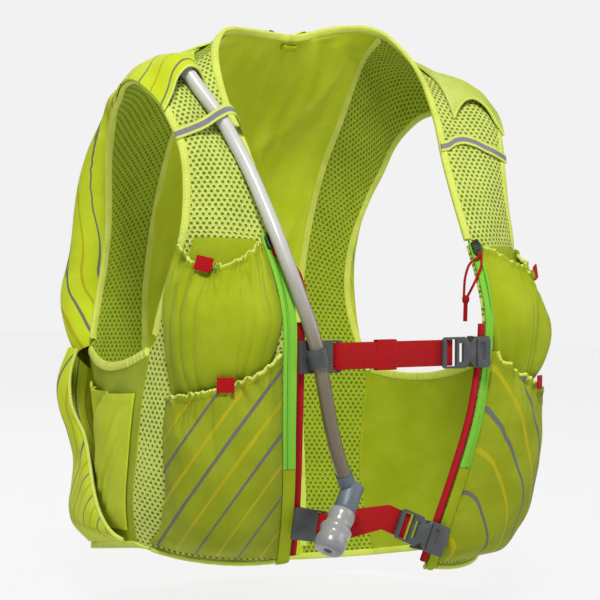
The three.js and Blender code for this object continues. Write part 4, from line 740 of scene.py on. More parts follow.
def mesh_piece(name, points, faces, uvs, material, nodes=()):
    """A mesh from points in millimetres, with the place on the cloth in metres as its UV map."""
    mesh = bpy.data.meshes.new(name)
    mesh.from_pydata((points * MM).tolist(), [], faces)
    layer = mesh.uv_layers.new(name="cloth")
    corners = np.empty(len(mesh.loops), dtype=np.int32)
    mesh.loops.foreach_get("vertex_index", corners)
    layer.data.foreach_set("uv", (uvs[corners] * MM).astype(np.float32).ravel())
    mesh.polygons.foreach_set("use_smooth", [True] * len(mesh.polygons))
    mesh.set_sharp_from_angle(angle=math.radians(50))
    mesh.update()
    return place_piece(bpy.data.objects.new(name, mesh), material, nodes)


def run_lengths(points, axis):
    """Distances along an axis of a grid of points, from its start."""
    gaps = np.linalg.norm(np.diff(points, axis=axis), axis=-1)
    start = np.zeros_like(np.take(gaps, [0], axis=axis))
    return np.cumsum(np.concatenate([start, gaps], axis=axis), axis=axis)


def cloth_piece(name, us, vs, place, under, thick, material, nodes=(), level=False):
    """A wall of cloth over a grid of places, with a thickness that may be a function of the place.

    A level piece takes its pattern straight on.
    """
    u, v = np.meshgrid(np.asarray(us, float), np.asarray(vs, float))
    height = under(u, v)
    low, high = place(u, v, height), place(u, v, height + (thick(u, v) if callable(thick) else thick))
    rows, columns = u.shape
    count = rows * columns
    index = np.arange(count).reshape(rows, columns)
    a, b, c, d = index[:-1, :-1], index[:-1, 1:], index[1:, 1:], index[1:, :-1]
    face = np.stack([a, b, c, d], -1).reshape(-1, 4)
    centre = high[rows // 2, columns // 2] - low[rows // 2, columns // 2]
    spread = np.cross(
        high[rows // 2, columns // 2 + 1] - high[rows // 2, columns // 2],
        high[rows // 2 + 1, columns // 2] - high[rows // 2, columns // 2],
    )
    if spread @ centre < 0:
        face = face[:, ::-1]
    outline = np.concatenate([index[0, :-1], index[:-1, -1], index[-1, :0:-1], index[:0:-1, 0]])
    onward = np.roll(outline, -1)
    rim = np.stack([outline, onward, onward + count, outline + count], -1)
    if spread @ centre < 0:
        rim = rim[:, ::-1]
    faces = np.concatenate([face + count, face[:, ::-1], rim]).tolist()
    across = run_lengths(high, 1)
    across = across - across[:, columns // 2][:, None]
    along = np.broadcast_to(run_lengths(high, 0).mean(1)[:, None], u.shape)
    if level:
        reach = (high[:, -1] - high[:, 0]).mean(0) * np.array([1.0, 1.0, 0.0])
        across, along = high @ unit(reach), high[..., 2]
    uvs = np.stack([across, along], -1).reshape(-1, 2)
    points = np.concatenate([low.reshape(-1, 3), high.reshape(-1, 3)])
    return mesh_piece(name, points, faces, np.concatenate([uvs, uvs]), material, nodes)


def swept_piece(name, centre, out, up, section, material, nodes=()):
    """A bar along a line. The section holds places along out and up at each station."""
    section = np.asarray(section, float)
    if section.ndim == 2:
        section = np.broadcast_to(section, (len(centre),) + section.shape)
    points = centre[:, None] + out[:, None] * section[..., :1] + up[:, None] * section[..., 1:]
    stations, sides = section.shape[:2]
    index = np.arange(stations * sides).reshape(stations, sides)
    ring = np.roll(index, -1, axis=1)
    faces = np.stack([index[:-1], ring[:-1], ring[1:], index[1:]], -1).reshape(-1, 4)
    winding = np.cross(points[0, 1] - points[0, 0], points[0, 2] - points[0, 1])
    flip = winding @ (centre[1] - centre[0]) < 0
    faces = (faces[:, ::-1] if flip else faces).tolist()
    first, last = index[0].tolist(), index[-1].tolist()
    faces += [first, last[::-1]] if flip else [first[::-1], last]
    around = run_lengths(np.concatenate([points, points[:, :1]], axis=1), 1)[:, :sides]
    along = np.broadcast_to(run_lengths(centre[:, None], 0), around.shape)
    uvs = np.stack([around, along], -1).reshape(-1, 2)
    return mesh_piece(name, points.reshape(-1, 3), faces, uvs, material, nodes)


def oval(centre_out, centre_up, half_out, half_up, sides=20, square=0.6):
    """Places of a section that lies between an ellipse and a rectangle."""
    angle = np.linspace(0, 2 * np.pi, sides, endpoint=False)
    c, s = np.cos(angle), np.sin(angle)
    x = centre_out + half_out * np.sign(c) * np.abs(c) ** square
    y = centre_up + half_up * np.sign(s) * np.abs(s) ** square
    return np.stack([x, y], -1)


def smoothed(values, times):
    """Values averaged with their neighbours a number of times."""
    for _ in range(times):
        inner = 0.25 * values[:-2] + 0.5 * values[1:-1] + 0.25 * values[2:]
        values = np.concatenate([values[:1], inner, values[-1:]])
    return values


def edge_frames(points, normals, inside, times=4):
    """Directions out of an edge and up from the cloth along a line of points."""
    along = unit(np.gradient(points, axis=0))
    up = unit(smoothed(normals, times))
    out = unit(np.cross(along, up))
    toward = np.sum(out * (inside - points), axis=-1, keepdims=True)
    out = np.where(toward > 0, -out, out)
    up = unit(up - out * np.sum(up * out, axis=-1, keepdims=True))
    return out, up


def tube_piece(name, points, radius, material, nodes=(), sides=10, ripple=None):
    """A round cord of cloth along a line of points, with a seeded ripple of its radius."""
    along = unit(np.gradient(points, axis=0))
    helper = np.array([0.13, 0.21, 0.97])
    out = unit(np.cross(along, helper))
    up = unit(np.cross(out, along))
    section = np.broadcast_to(oval(0, 0, 1, 1, sides, 1.0), (len(points), sides, 2)) * radius
    if ripple is not None:
        section = section * (1 + ripple[:, None, None])
    return swept_piece(name, points, out, up, section, material, nodes)


def moulded_piece(node, name, material, bevel):
    """The shape of a CAD node with its edges rounded."""
    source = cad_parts[node]
    mesh = source.data.copy()
    mesh.name = name
    work = bmesh.new()
    work.from_mesh(mesh)
    bmesh.ops.remove_doubles(work, verts=work.verts, dist=1e-5)
    bmesh.ops.dissolve_limit(work, angle_limit=math.radians(2), verts=work.verts, edges=work.edges)
    corners = [e for e in work.edges if len(e.link_faces) == 2 and e.calc_face_angle(0) > math.radians(28)]
    bmesh.ops.bevel(
        work, geom=corners, offset=bevel * MM, segments=2, profile=0.6, affect="EDGES",
        clamp_overlap=True,
    )
    work.to_mesh(mesh)
    work.free()
    mesh.polygons.foreach_set("use_smooth", [True] * len(mesh.polygons))
    mesh.set_sharp_from_angle(angle=math.radians(40))
    return place_piece(bpy.data.objects.new(name, mesh), material, [node])


def spline_points(points, per_span):
    """Points on a Catmull-Rom curve through the given ones."""
    points = np.asarray(points, float)
    padded = np.vstack([2 * points[0] - points[1], points, 2 * points[-1] - points[-2]])
    found = []
    for k in range(len(points) - 1):
        a, b, c, d = padded[k : k + 4]
        for t in np.linspace(0, 1, per_span, endpoint=False):
            found.append(0.5 * (2 * b + (c - a) * t + (2 * a - 5 * b + 4 * c - d) * t * t
                                + (3 * b - a - 3 * c + d) * t**3))
    found.append(points[-1])
    return np.array(found)


# Routes of the free cords, as in the solids, as shares of the size
SIZE = np.array([HALF_WIDTH, CHEST_DEPTH, LENGTH])
HOSE_ROUTE = np.array([
    [-0.80364, -0.07396, -0.06419], [-0.78909, -0.08906, -0.07581], [-0.7697, -0.10868, -0.09302],
    [-0.72848, -0.13962, -0.12326], [-0.6897, -0.16792, -0.15233], [-0.65333, -0.19811, -0.18837],
    [-0.62303, -0.23208, -0.22558], [-0.6, -0.26981, -0.26512], [-0.58727, -0.31321, -0.30465],
    [-0.57455, -0.35321, -0.34302], [-0.55758, -0.38755, -0.38372], [-0.53697, -0.41811, -0.42326],
    [-0.51091, -0.43736, -0.46163], [-0.4897, -0.46038, -0.49767], [-0.46909, -0.47509, -0.53256],
    [-0.44667, -0.48, -0.56977], [-0.42, -0.47736, -0.60698], [-0.38788, -0.46755, -0.64419],
    [-0.35212, -0.45434, -0.67907], [-0.31091, -0.43925, -0.71279], [-0.2697, -0.42415, -0.7407],
    [-0.23818, -0.41472, -0.76163],
]) * SIZE
PULL_CORDS = {
    "right": [
        [
            [-0.57273, -0.35811, -0.38488], [-0.52485, -0.3683, -0.40116],
            [-0.47576, -0.36151, -0.41744], [-0.43636, -0.35283, -0.43488],
        ],
        [
            [-0.52424, -0.35547, -0.38837], [-0.48182, -0.35283, -0.39651],
            [-0.44242, -0.35472, -0.41395], [-0.41818, -0.35283, -0.43372],
        ],
    ],
    "left": [
        [
            [0.50606, -0.35321, -0.3907], [0.48182, -0.35283, -0.41628],
            [0.47879, -0.3517, -0.44651],
        ],
        [
            [0.54667, -0.37321, -0.39767], [0.5097, -0.37547, -0.42512],
            [0.50061, -0.35547, -0.44651],
        ],
    ],
}


def cord_piece(name, route, diameter, material, node):
    """A free cord as one open curve."""
    points = spline_points(route, 8) * MM
    curve = bpy.data.curves.new(name, "CURVE")
    curve.dimensions = "3D"
    curve.bevel_depth = diameter * MM / 2
    curve.bevel_resolution = 6
    curve.use_fill_caps = True
    spline = curve.splines.new("POLY")
    spline.points.add(len(points) - 1)
    spline.points.foreach_set("co", np.hstack([points, np.ones((len(points), 1))]).ravel())
    spline.use_smooth = True
    piece = place_piece(bpy.data.objects.new(name, curve), material, [node])
    length = float(np.linalg.norm(np.diff(points, axis=0), axis=1).sum())
    return piece, points, length


VALVE_TOP = np.array([-0.16606, -0.4, -0.78256]) * SIZE
VALVE_AXIS = unit(np.array([-24.4, -12.0, -35.0]))
ELBOW_LENGTH = 24.0
VALVE_LENGTH = 34.0
VALVE_DIAMETER = 24.0
# Share of half the valve's diameter, and share of its length
VALVE_PROFILE = np.array([
    [0.8, 0], [0.86, 0.1], [0.8, 0.28], [0.84, 0.36], [1, 0.44], [1, 0.5], [0.92, 0.62],
    [1, 0.78], [0.95, 0.93], [0.76, 1], [0.3, 1], [0.26, 0.94],
])

# Columns: share of the height, ribbon row at the inner and the outer end, outer end across
# the ribbon, shift of the inner end as a share of HALF_WIDTH, share of the depth
UPPER_POCKET = np.array([
    [0, 3.25, 3.2, 0.74, 0.06, 0], [0.12, 3.6, 3.5, 0.76, 0.06, 0.42], [0.3, 4.2, 4, 0.8, 0.05, 0.8],
    [0.5, 4.95, 4.75, 0.89, 0, 1], [0.7, 5.6, 5.5, 0.965, 0, 0.9], [0.86, 6.25, 6.15, 0.985, 0, 0.7],
    [1, 6.85, 6.75, 0.985, 0, 0.56],
])
LOWER_POCKET = np.array([
    [0, 0.12, 0.18, 0.9, 0, 0], [0.12, 0.5, 0.6, 0.82, 0, 0.55], [0.28, 1.15, 1.15, 0.79, 0, 0.86],
    [0.45, 2, 1.75, 0.775, 0, 1], [0.62, 2.8, 2.3, 0.79, 0, 1], [0.8, 3.6, 2.9, 0.8, 0, 0.94],
    [0.91, 4.1, 3.2, 0.79, 0, 0.88], [1, 4.4, 3.44, 0.78, 0, 0.82],
])
UPPER_RIM = (0.72, 1)
LOWER_RIM = (0.0, 2)
# Columns: share across, front row, share of the arch's rise
COVER_FRONT = np.array([
    [0, 10.05, 0], [0.14, 10.3, 0.5], [0.3, 10.5, 0.95], [0.45, 10.55, 1], [0.62, 10.4, 0.75],
    [0.8, 10.1, 0.3], [1, 9.85, 0],
])
COVER_LENGTH = np.array([[0, 1], [0.14, 0.95], [0.3, 0.4], [0.45, 0.12], [1, 0.1]])
COVER_INNER_SHARE = 0.3
# Columns: share across, shift along the strap in rows, share of the rise over the hose
KEEPER_ARCH = np.array([
    [0, 0, 0], [0.12, 0.05, 0.55], [0.22, 0.15, 0.98], [0.36, 0.2, 1], [0.5, 0.15, 0.7],
    [0.65, 0.05, 0.3], [0.8, 0, 0.05], [1, -0.05, 0],
])
# Columns: ribbon row, share of the pouch's depth
BACK_POUCH = np.array([
    [12.9, 0.05], [13.5, 0.12], [14.2, 0.3], [15, 0.47], [16, 0.64], [17, 0.83], [18, 0.95],
    [19, 1], [20, 0.97], [20.7, 0.72], [21.3, 0.5], [22.3, 0.42],
])
POUCH_TOP_MIDDLE = 15.25
LIP_DEPTH_SHARE = 0.3
# Columns: share of the half width, share of the depth, share of the spread
POUCH_PROFILE = np.array([
    [0, 1, 0], [0.25, 1, 0.1], [0.5, 0.98, 0.3], [0.7, 0.95, 0.62], [0.84, 0.88, 0.95],
    [0.92, 0.6, 1], [0.97, 0.25, 0.6], [1, 0, 0],
])
STRETCH_TOP = np.array([[0, 0.585], [0.6, 0.63], [0.8, 0.8], [1, 0.99]])
POUCH_GAP_ROWS = 0.03
STRETCH_CORNER = 0.6
# Columns: share of the height, place of the mouth on the lower wrap, its gape, the swell
STRETCH_MOUTH = np.array([
    [0, 1.93, 0.02, 0.02], [0.06, 1.86, 0.25, 0.5], [0.12, 1.7, 0.25, 0.68], [0.22, 1.5, 0.26, 0.7],
    [0.36, 1.25, 0.28, 0.68], [0.5, 1.13, 0.36, 0.82], [0.66, 1.08, 0.6, 0.98],
    [0.82, 1.05, 0.58, 0.9], [1, 1.03, 0.3, 0.5],
])
SIDE_POCKET_SPAN = (0.08, 0.79)
NECK_CORNER_ROW = 12.8
HEM_START = 0.003
SLIDER_ROW = 6.8
SLIDER_LENGTH = 13.0
SIDE_HEIGHT = float(np.linalg.norm(side_face(0.0, 0.0) - side_face(0.0, 1.0)))
SEAM_GAP = 0.01


def steps(start, end, count):
    """Places at the ends of a number of equal steps."""
    return np.linspace(start, end, count + 1)


def flat(value):
    """A height that is the same at every place."""
    return lambda u, v: np.full(np.shape(u), float(value))


def row_width(row):
    """Straight width of a row."""
    r = ribbon_row(row)
    return np.linalg.norm(r[..., 3:6] - r[..., 0:3], axis=-1)


def row_pitch(row):
    """Distance from one row to the next."""
    return float(np.linalg.norm(ribbon_face(0.5, row + 0.5) - ribbon_face(0.5, row - 0.5)))


def ripple(u, v, seed, depth):
    """Soft unevenness of a panel, in places counted in ripples."""
    return depth * waves(u, v, seed)


def side_of(u):
    """The side that a place across the back lies on."""
    return np.where(np.asarray(u) < 0, RIGHT, LEFT)


def front_panel(side, word):
    """Mesh panel from the front hem to the shoulder seam."""
    def place(u, row, height):
        inner = np.where(row < ZIP_TOP_ROW, RAIL_INSET, BOUND_INSET)
        outer = np.where(row < SIDE_TOP_FRONT_ROW, PLAIN_INSET, BOUND_INSET)
        first, last = inset_share(0, row, inner), inset_share(1, row, outer)
        return on_ribbon(side, lerp(first, 1 - last, u), row, height)

    def under(u, row):
        return ripple(u * 3, row / 3, 11 + side, 0.35)

    rows = steps(0, SHOULDER_SEAM_ROW - SEAM_GAP, FRONT_GRID[1])
    name = f"mesh_front_{word}"
    us, node = steps(0, 1, FRONT_GRID[0]), [f"front_panel_{word}"]
    cloth_piece(name, us, rows, place, under, PANEL_CLOTH, mesh_cloth(), node)


def collar_line(turn):
    """Points and directions along the collar, from the right to the left."""
    row = lerp(COLLAR_ROW, NECK_CORNER_ROW, np.abs(turn))
    return on_ribbon(side_of(turn), 0 * turn, row), outward_on_ribbon(side_of(turn), 0 * turn, row)


def centre_panel():
    """Smooth panel down the middle of the back."""
    turns = steps(-1, 1, 160)
    points, normals = collar_line(turns)
    inside = on_ribbon(side_of(turns), 0.1 * np.abs(turns), COLLAR_ROW + 1 + 0 * turns)
    out, up = edge_frames(points, normals, inside)

    def along_collar(values, u):
        return np.stack([np.interp(u, turns, values[:, k]) for k in range(3)], -1)

    def place(u, turn, height):
        start = 0.05
        late = np.maximum(turn, start)
        edge = back_seam(seam_row(late)) - SEAM_CLEARANCE / row_width(seam_row(late))
        row = lerp(middle_row(late), seam_row(late), np.abs(u))
        below = on_ribbon(side_of(u), edge * np.abs(u), row, height)
        top = along_collar(points, u) - along_collar(out, u) * (BOUND_INSET)
        top = top + along_collar(up, u) * height[..., None]
        return lerp(top, below, np.clip(turn / start, 0, 1)[..., None])

    def under(u, turn):
        fade = smoothstep(turn, 0.0, 0.15)
        broad = folds_along(turn * 260 + 60 * u, u * 150, 70, 6.0, 23)
        broad = broad + ripple(u * 1.5, turn * 2.4, 21, 3.0) + ripple(u * 4, turn * 6, 22, 1.0)
        return broad * fade * (1 - 0.9 * np.abs(u) ** 4)

    us, node = steps(-1, 1, CENTRE_GRID[0]), ["back_centre_panel"]
    vs = np.concatenate([steps(0, 0.05, 6)[:-1], steps(0.05, 1, CENTRE_GRID[1])])
    cloth_piece("smooth_back", us, vs, place, under, PANEL_CLOTH, lit_back_lime(), node)


def back_flank(side, word):
    """Mesh panel beside the centre panel, and the seam between them."""
    def place(u, row, height):
        on_seam = back_seam(row) + SEAM_CLEARANCE / row_width(row)
        bound = inset_share(0, row, BOUND_INSET)
        past = smoothstep(row, SEAM_START_ROW - 0.25, SEAM_START_ROW + 0.05)
        inner = np.where(past > 0, lerp(bound, np.maximum(bound, on_seam), past), bound)
        outer = inset_share(1, row, np.where(row < SIDE_TOP_BACK_ROW, BOUND_INSET, PLAIN_INSET))
        return on_ribbon(side, lerp(inner, 1 - outer, u), row, height)

    def under(u, row):
        return ripple(u * 3, row / 3, 31 + side, 0.4)

    rows = steps(SHOULDER_SEAM_ROW + SEAM_GAP, LAST_ROW, FLANK_GRID[1])
    name = f"mesh_flank_{word}"
    us, node = steps(0, 1, FLANK_GRID[0]), [f"back_flank_{word}"]
    cloth_piece(name, us, rows, place, under, PANEL_CLOTH, shaded_flank_cloth(), node)

    def seam_place(u, row, height):
        return on_ribbon(side, back_seam(row) + u * 3.0 / row_width(row), row, height)

    rows = steps(SEAM_START_ROW + 0.1, LAST_ROW - 0.1, 200)
    cloth_piece(
        f"back_seam_{word}", steps(-1, 1, 6), rows, seam_place, flat(-0.8), 1.2, edging(),
    )


def side_panel(side, word):
    """Smooth panel under the arm with a seam at each edge."""
    def place(u, v, height):
        width = np.linalg.norm(side_face(0 * v, v) - side_face(0 * v + 1, v), axis=-1)
        dipped = SIDE_DIP * LENGTH * 4 * u * (1 - u)
        top = 1 - ELASTIC_ROOM / (SIDE_HEIGHT - 4 * dipped)
        inset = -PANEL_TUCK / width
        return on_side(side, lerp(inset, 1 - inset, u), lerp(HEM_START, top, v), height)

    def under(u, v):
        pleats = gathers(u * 110, (1 - v) * SIDE_HEIGHT, 9, 0.8, 24, 41 + side)
        return pleats * np.sin(np.pi * np.clip(u, 0, 1)) * 0.6

    name = f"smooth_side_{word}"
    us, vs, node = steps(0, 1, SIDE_GRID[0]), steps(0, 1, SIDE_GRID[1]), [f"side_panel_{word}"]
    cloth_piece(name, us, vs, place, under, PANEL_CLOTH, lime(), node)
    v = steps(0, 1, 160)
    for end, where in ((0, "front"), (1, "back")):
        line = on_side(side, 0 * v + end, lerp(HEM_START, 1 - ELASTIC_ROOM / SIDE_HEIGHT, v), 0 * v + 0.6)
        tube_piece(f"side_seam_{where}_{word}", line, 1.4, lime())


def bound_edge(name, points, normals, inside, nodes, centre, half, pucker=0.0, smooth=4):
    """A rounded binding along an edge of the cloth."""
    out, up = edge_frames(points, normals, inside, smooth)
    section = np.broadcast_to(oval(*centre, *half), (len(points), 20, 2)).copy()
    length = run_lengths(points[:, None], 0)[:, 0]
    wave = 1 + pucker * np.sin(2 * np.pi * length / GATHER_PITCH) + 0.03 * waves(length / 9, 0 * length, 51)
    section[..., 1] *= wave[:, None]
    return swept_piece(name, points, out, up, section, edging(), nodes)


def neck_binding():
    """Binding up one front edge, round the collar and down the other."""
    strap = np.arange(ZIP_TOP_ROW + 0.12, NECK_CORNER_ROW, 0.03)
    collar = np.arange(NECK_CORNER_ROW, COLLAR_ROW, 0.03)
    rows = np.concatenate([strap, collar, [COLLAR_ROW], collar[::-1], strap[::-1]])
    sides = np.ones(len(rows))
    sides[: len(rows) // 2] = RIGHT
    turn = (COLLAR_ROW - rows) / (COLLAR_ROW - NECK_CORNER_ROW)
    points = on_ribbon(sides, 0 * rows, rows)
    normals = outward_on_ribbon(sides, 0 * rows, rows)
    near = on_ribbon(sides, 0.1 + 0 * rows, rows)
    below = on_ribbon(sides, 0.1 * np.abs(turn), COLLAR_ROW + 1 + 0 * rows)
    inside = np.where((rows < NECK_CORNER_ROW)[:, None], near, below)
    bound_edge("neck_edge", points, normals, inside, ["neck_binding"], (-3, 1), (3.1, 1.95), smooth=8)


def armhole_binding(side, word):
    """Binding round an armhole."""
    rows = np.arange(SIDE_TOP_FRONT_ROW + 0.2, SIDE_TOP_BACK_ROW - 0.1, 0.03)
    points = on_ribbon(side, 1 + 0 * rows, rows)
    normals = outward_on_ribbon(side, 1 + 0 * rows, rows)
    inside = on_ribbon(side, 0.9 + 0 * rows, rows)
    name = f"armhole_edge_{word}"
    bound_edge(name, points, normals, inside, [f"armhole_binding_{word}"], (-3, 1), (3.1, 1.95))


def side_elastic(side, word):
    """Elastic along the top of a side panel."""
    inset = 0.04
    s = steps(inset, 1 - inset, 180)
    points = on_side(side, s, 1 + 0 * s)
    normals = on_side(side, s, 1 + 0 * s, 1 + 0 * s) - points
    inside = on_side(side, s, 0.9 + 0 * s)
    name = f"elastic_edge_{word}"
    bound_edge(name, points, normals, inside, [f"side_elastic_{word}"], (-3.5, 1), (3.6, 2.0), pucker=0.16)


def hem_binding():
    """Binding along the hem from one front edge to the other."""
    q = steps(0, 2.97, 420)
    on_back, on_front = q <= 1, q >= 2
    sides = []
    for side in (RIGHT, LEFT):
        s = np.where(on_back, q, np.where(on_front, 3 - q, 2 - q))
        row = np.where(on_back, float(LAST_ROW), 0.0)
        clipped = np.clip(s, 0, 1)
        ribbon = on_ribbon(side, clipped, row)
        panel = on_side(side, clipped, 0 * q)
        ribbon_up = outward_on_ribbon(side, clipped, row)
        panel_up = on_side(side, clipped, 0 * q, 1 + 0 * q) - panel
        use = (on_back | on_front)[:, None]
        sides.append((np.where(use, ribbon, panel), np.where(use, ribbon_up, panel_up)))
    (right, right_up), (left, left_up) = sides
    points = np.concatenate([right[::-1], left[1:]])
    normals = np.concatenate([right_up[::-1], left_up[1:]])
    inside = points + np.array([0.0, 0.0, 1.0])
    bound_edge("hem_edge", points, normals, inside, ["hem_binding"], (1.3, 1.1), (2.9, 1.95), smooth=14)


def pocket_swell(u):
    """Share of the depth of a front pocket at a place across it."""
    return np.maximum(np.sin(np.pi * np.clip(u, 0, 1)), 0) ** 0.75


def pocket_place(table, rim, u, v):
    """Share and row on the ribbon of a place on a front pocket."""
    sag, curve = rim
    outer_row = read_table(table, v, 2)
    row = lerp(outer_row, read_table(table, v, 1), (1 - u) ** curve)
    sagged = row - sag * np.sin(np.pi * u) * v**3
    inner = inset_share(0, sagged, TAPE_INSET + 0.3 + read_table(table, v, 4) * HALF_WIDTH)
    return lerp(inner, read_table(table, v, 3), u), sagged


def front_pocket(side, word, kind):
    """Bulging front pocket with its gathered rim."""
    upper = kind == "upper"
    table, rim = (UPPER_POCKET, UPPER_RIM) if upper else (LOWER_POCKET, LOWER_RIM)
    depth = UPPER_POCKET_DEPTH if upper else LOWER_POCKET_DEPTH
    seed = (61 if upper else 71) + side
    width, height_of = (105.0, 125.0) if upper else (100.0, 165.0)

    def place(u, v, height):
        s, row = pocket_place(table, rim, u, v)
        scallop = gathers(u * width, 0 * v, GATHER_PITCH, 0.12, 1, seed) * smoothstep(v, 0.93, 1.0)
        return on_ribbon(side, s, row + scallop, height)

    def folds(u, v):
        across, below = u * width, (1 - v) * height_of
        fine = gathers(across, below, GATHER_PITCH, 4.6, 13, seed)
        middle = gathers(across, below, 2 * GATHER_PITCH, 2.2, 38, seed + 1)
        deep, fade = (6.5, 150.0) if upper else (4.5 if side == RIGHT else 2.2, 70.0)
        broad = folds_along(across, below / 3, 19, deep, seed + 2) * np.exp(-below / fade) + middle
        drape = ripple(across / 45, below / 70, seed + 4, 1.5)
        total = fine + broad + drape
        if upper:
            total = total - 1.3 * np.exp(-(((u - 0.28) * width / 1.6) ** 2))
        sag = 0.0 if upper or side == RIGHT else 2.5 * np.exp(-(((v - 0.12) / 0.16) ** 2))
        return (total + sag) * np.minimum(1, 2.2 * pocket_swell(u)) * np.minimum(1, v * 8)

    def under(u, v):
        return SEAT_ON_BINDING + pocket_swell(u) * depth * read_table(table, v, 5) + folds(u, v)

    def thick(u, v):
        return POCKET_CLOTH + 1.1 * smoothstep(v, 0.955, 0.965)

    u = steps(0.02, 0.98, 420)
    rim_line = smoothed(place(u, 0 * u + 1, under(u, 0 * u + 1) + 1.0), 40)
    length = run_lengths(rim_line[:, None], 0)[:, 0]
    puckers = 0.12 * np.sin(2 * np.pi * length / 3.1) + 0.08 * waves(length / 6, 0 * length, seed + 7)
    slant = 0.6 if side == RIGHT else 0.42
    # The lower pockets take the darker copy of the lime: painted shade.
    material = lime() if upper else striped(f"striped_pocket_finish_{word}", slant, False)
    name = f"{kind}_pouch_{word}"
    us, vs, node = steps(0, 1, POCKET_GRID[0]), steps(0, 1, POCKET_GRID[1]), [f"{kind}_pocket_{word}"]
    cloth_piece(name, us, vs, place, under, thick, material, node, level=not upper)
    tube_piece(f"{kind}_frill_{word}", rim_line, 1.5, edging(), ripple=puckers)


def upper_facing(side, word):
    """Plain strip behind the mouth of an upper pocket."""
    def place(u, row, height):
        inner = inset_share(0, row, TAPE_INSET + 5.0)
        outer = 1 - inset_share(1, row, BINDING_WIDTH + 5.6)
        return on_ribbon(side, lerp(inner, outer, u), row, height)

    name = f"pocket_facing_cloth_{word}"
    node = [f"upper_pocket_facing_{word}"]
    us, rows = steps(0, 1, 50), steps(5.4, 6.85, 40)
    cloth_piece(name, us, rows, place, flat(COVER_SEAT), FACING_CLOTH, lime(), node)


def shoulder_cover(side, word):
    """Cover over the shoulder seam, arched over the hose on the right."""
    rise = HOSE_ARCH_RISE if side == RIGHT else SHOULDER_COVER_RISE

    def place(u, v, height):
        row = lerp(read_table(COVER_FRONT, u, 1), COVER_BACK_ROW, v)
        outer = 1 - inset_share(1, row, 0.4)
        return on_ribbon(side, lerp(COVER_INNER_SHARE, outer, u), row, height)

    def under(u, v):
        arch = rise * np.maximum(read_table(COVER_FRONT, u, 2), 0)
        arch = arch * np.maximum(read_table(COVER_LENGTH, v, 1), 0)
        soft = ripple(u * 3, v * 2, 81 + side, 0.5) * smoothstep(v, 0.1, 0.4) * np.sin(np.pi * u)
        return COVER_SEAT + 0.7 * smoothstep(u, 0.8, 1.0) + arch + soft

    c = colours()
    plain = finish("cover_cloth_finish", smooth_cloth, c.mesh_knit, c.mesh_light)
    material = striped("striped_cover_finish", 1.5) if side == RIGHT else plain
    name = f"cover_{word}"
    us, vs, node = steps(0, 1, COVER_GRID[0]), steps(0, 1, COVER_GRID[1]), [f"shoulder_cover_{word}"]
    cloth_piece(name, us, vs, place, under, POCKET_CLOTH, material, node)
    u = steps(0, 1, 120)
    front = place(u, 0 * u, under(u, 0 * u) + 0.6)
    tube_piece(f"cover_piping_{word}", front, 1.2, edging())


def keeper_band(side, word):
    """Reflective band across the strap, arched over the hose on the right."""
    rise = HOSE_ARCH_RISE if side == RIGHT else 0.0
    half = 0.5 * KEEPER_WIDTH / row_pitch(KEEPER_ROW)

    def place(u, v, height):
        row = KEEPER_ROW + read_table(KEEPER_ARCH, u, 1) + v * half
        inset = SEAM_CLEARANCE / row_width(row)
        return on_ribbon(side, lerp(inset, 1 - inset, u), row, height)

    def under(u, v):
        return SEAT_ON_BINDING + 0.4 + rise * np.maximum(read_table(KEEPER_ARCH, u, 2), 0)

    c = colours()
    material = finish("keeper_finish", reflective_band, c.reflective, c.binding, KEEPER_WIDTH * MM / 2)
    name = f"keeper_{word}"
    us, vs = steps(0, 1, 110), steps(-1, 1, 12)
    cloth_piece(name, us, vs, place, under, 1.0, material, [f"keeper_band_{word}"])


def pouch_row(turn, v):
    """Ribbon row of a place on the back pouch."""
    top = lerp(POUCH_TOP_MIDDLE, COVER_BACK_ROW, turn)
    return lerp(top, side_back_row(np.interp(turn, *STRETCH_TOP.T)) - POUCH_GAP_ROWS, v)


def back_cover():
    """Large pouch on the back."""
    def swell(turn, v, column):
        lip = lerp(LIP_DEPTH_SHARE, 1, smoothstep(v, 0, 0.28))
        return read_table(POUCH_PROFILE, turn, column) * read_table(BACK_POUCH, pouch_row(turn, v), 1) * lip

    def place(u, v, height):
        turn = np.abs(u)
        row = pouch_row(turn, v)
        edge = 1 - inset_share(1, row, BINDING_WIDTH + 0.9)
        point = on_ribbon(side_of(u), turn * edge, row, height)
        point[..., 0] += side_of(u) * BACK_POUCH_SPREAD * swell(turn, v, 2)
        return point

    def under(u, v):
        turn = np.abs(u)
        loose = np.minimum(1, 3 * swell(turn, v, 1)) * np.minimum(1, 6 * v)
        drape = ripple(u * 2.2, v * 2.4, 91, 2.2) + ripple(u * 5, v * 5, 92, 0.9)
        drape = drape + folds_along(u * 160 + 30 * v, v * 240, 62, 5.0, 93)
        return COVER_SEAT + BACK_POUCH_DEPTH * swell(turn, v, 1) + drape * loose

    us, vs = steps(-1, 1, POUCH_GRID[0]), steps(0, 1, POUCH_GRID[1])
    material = striped("striped_back_finish", 0.22)
    cloth_piece("back_pouch", us, vs, place, under, POCKET_CLOTH, material, ["back_cover"])


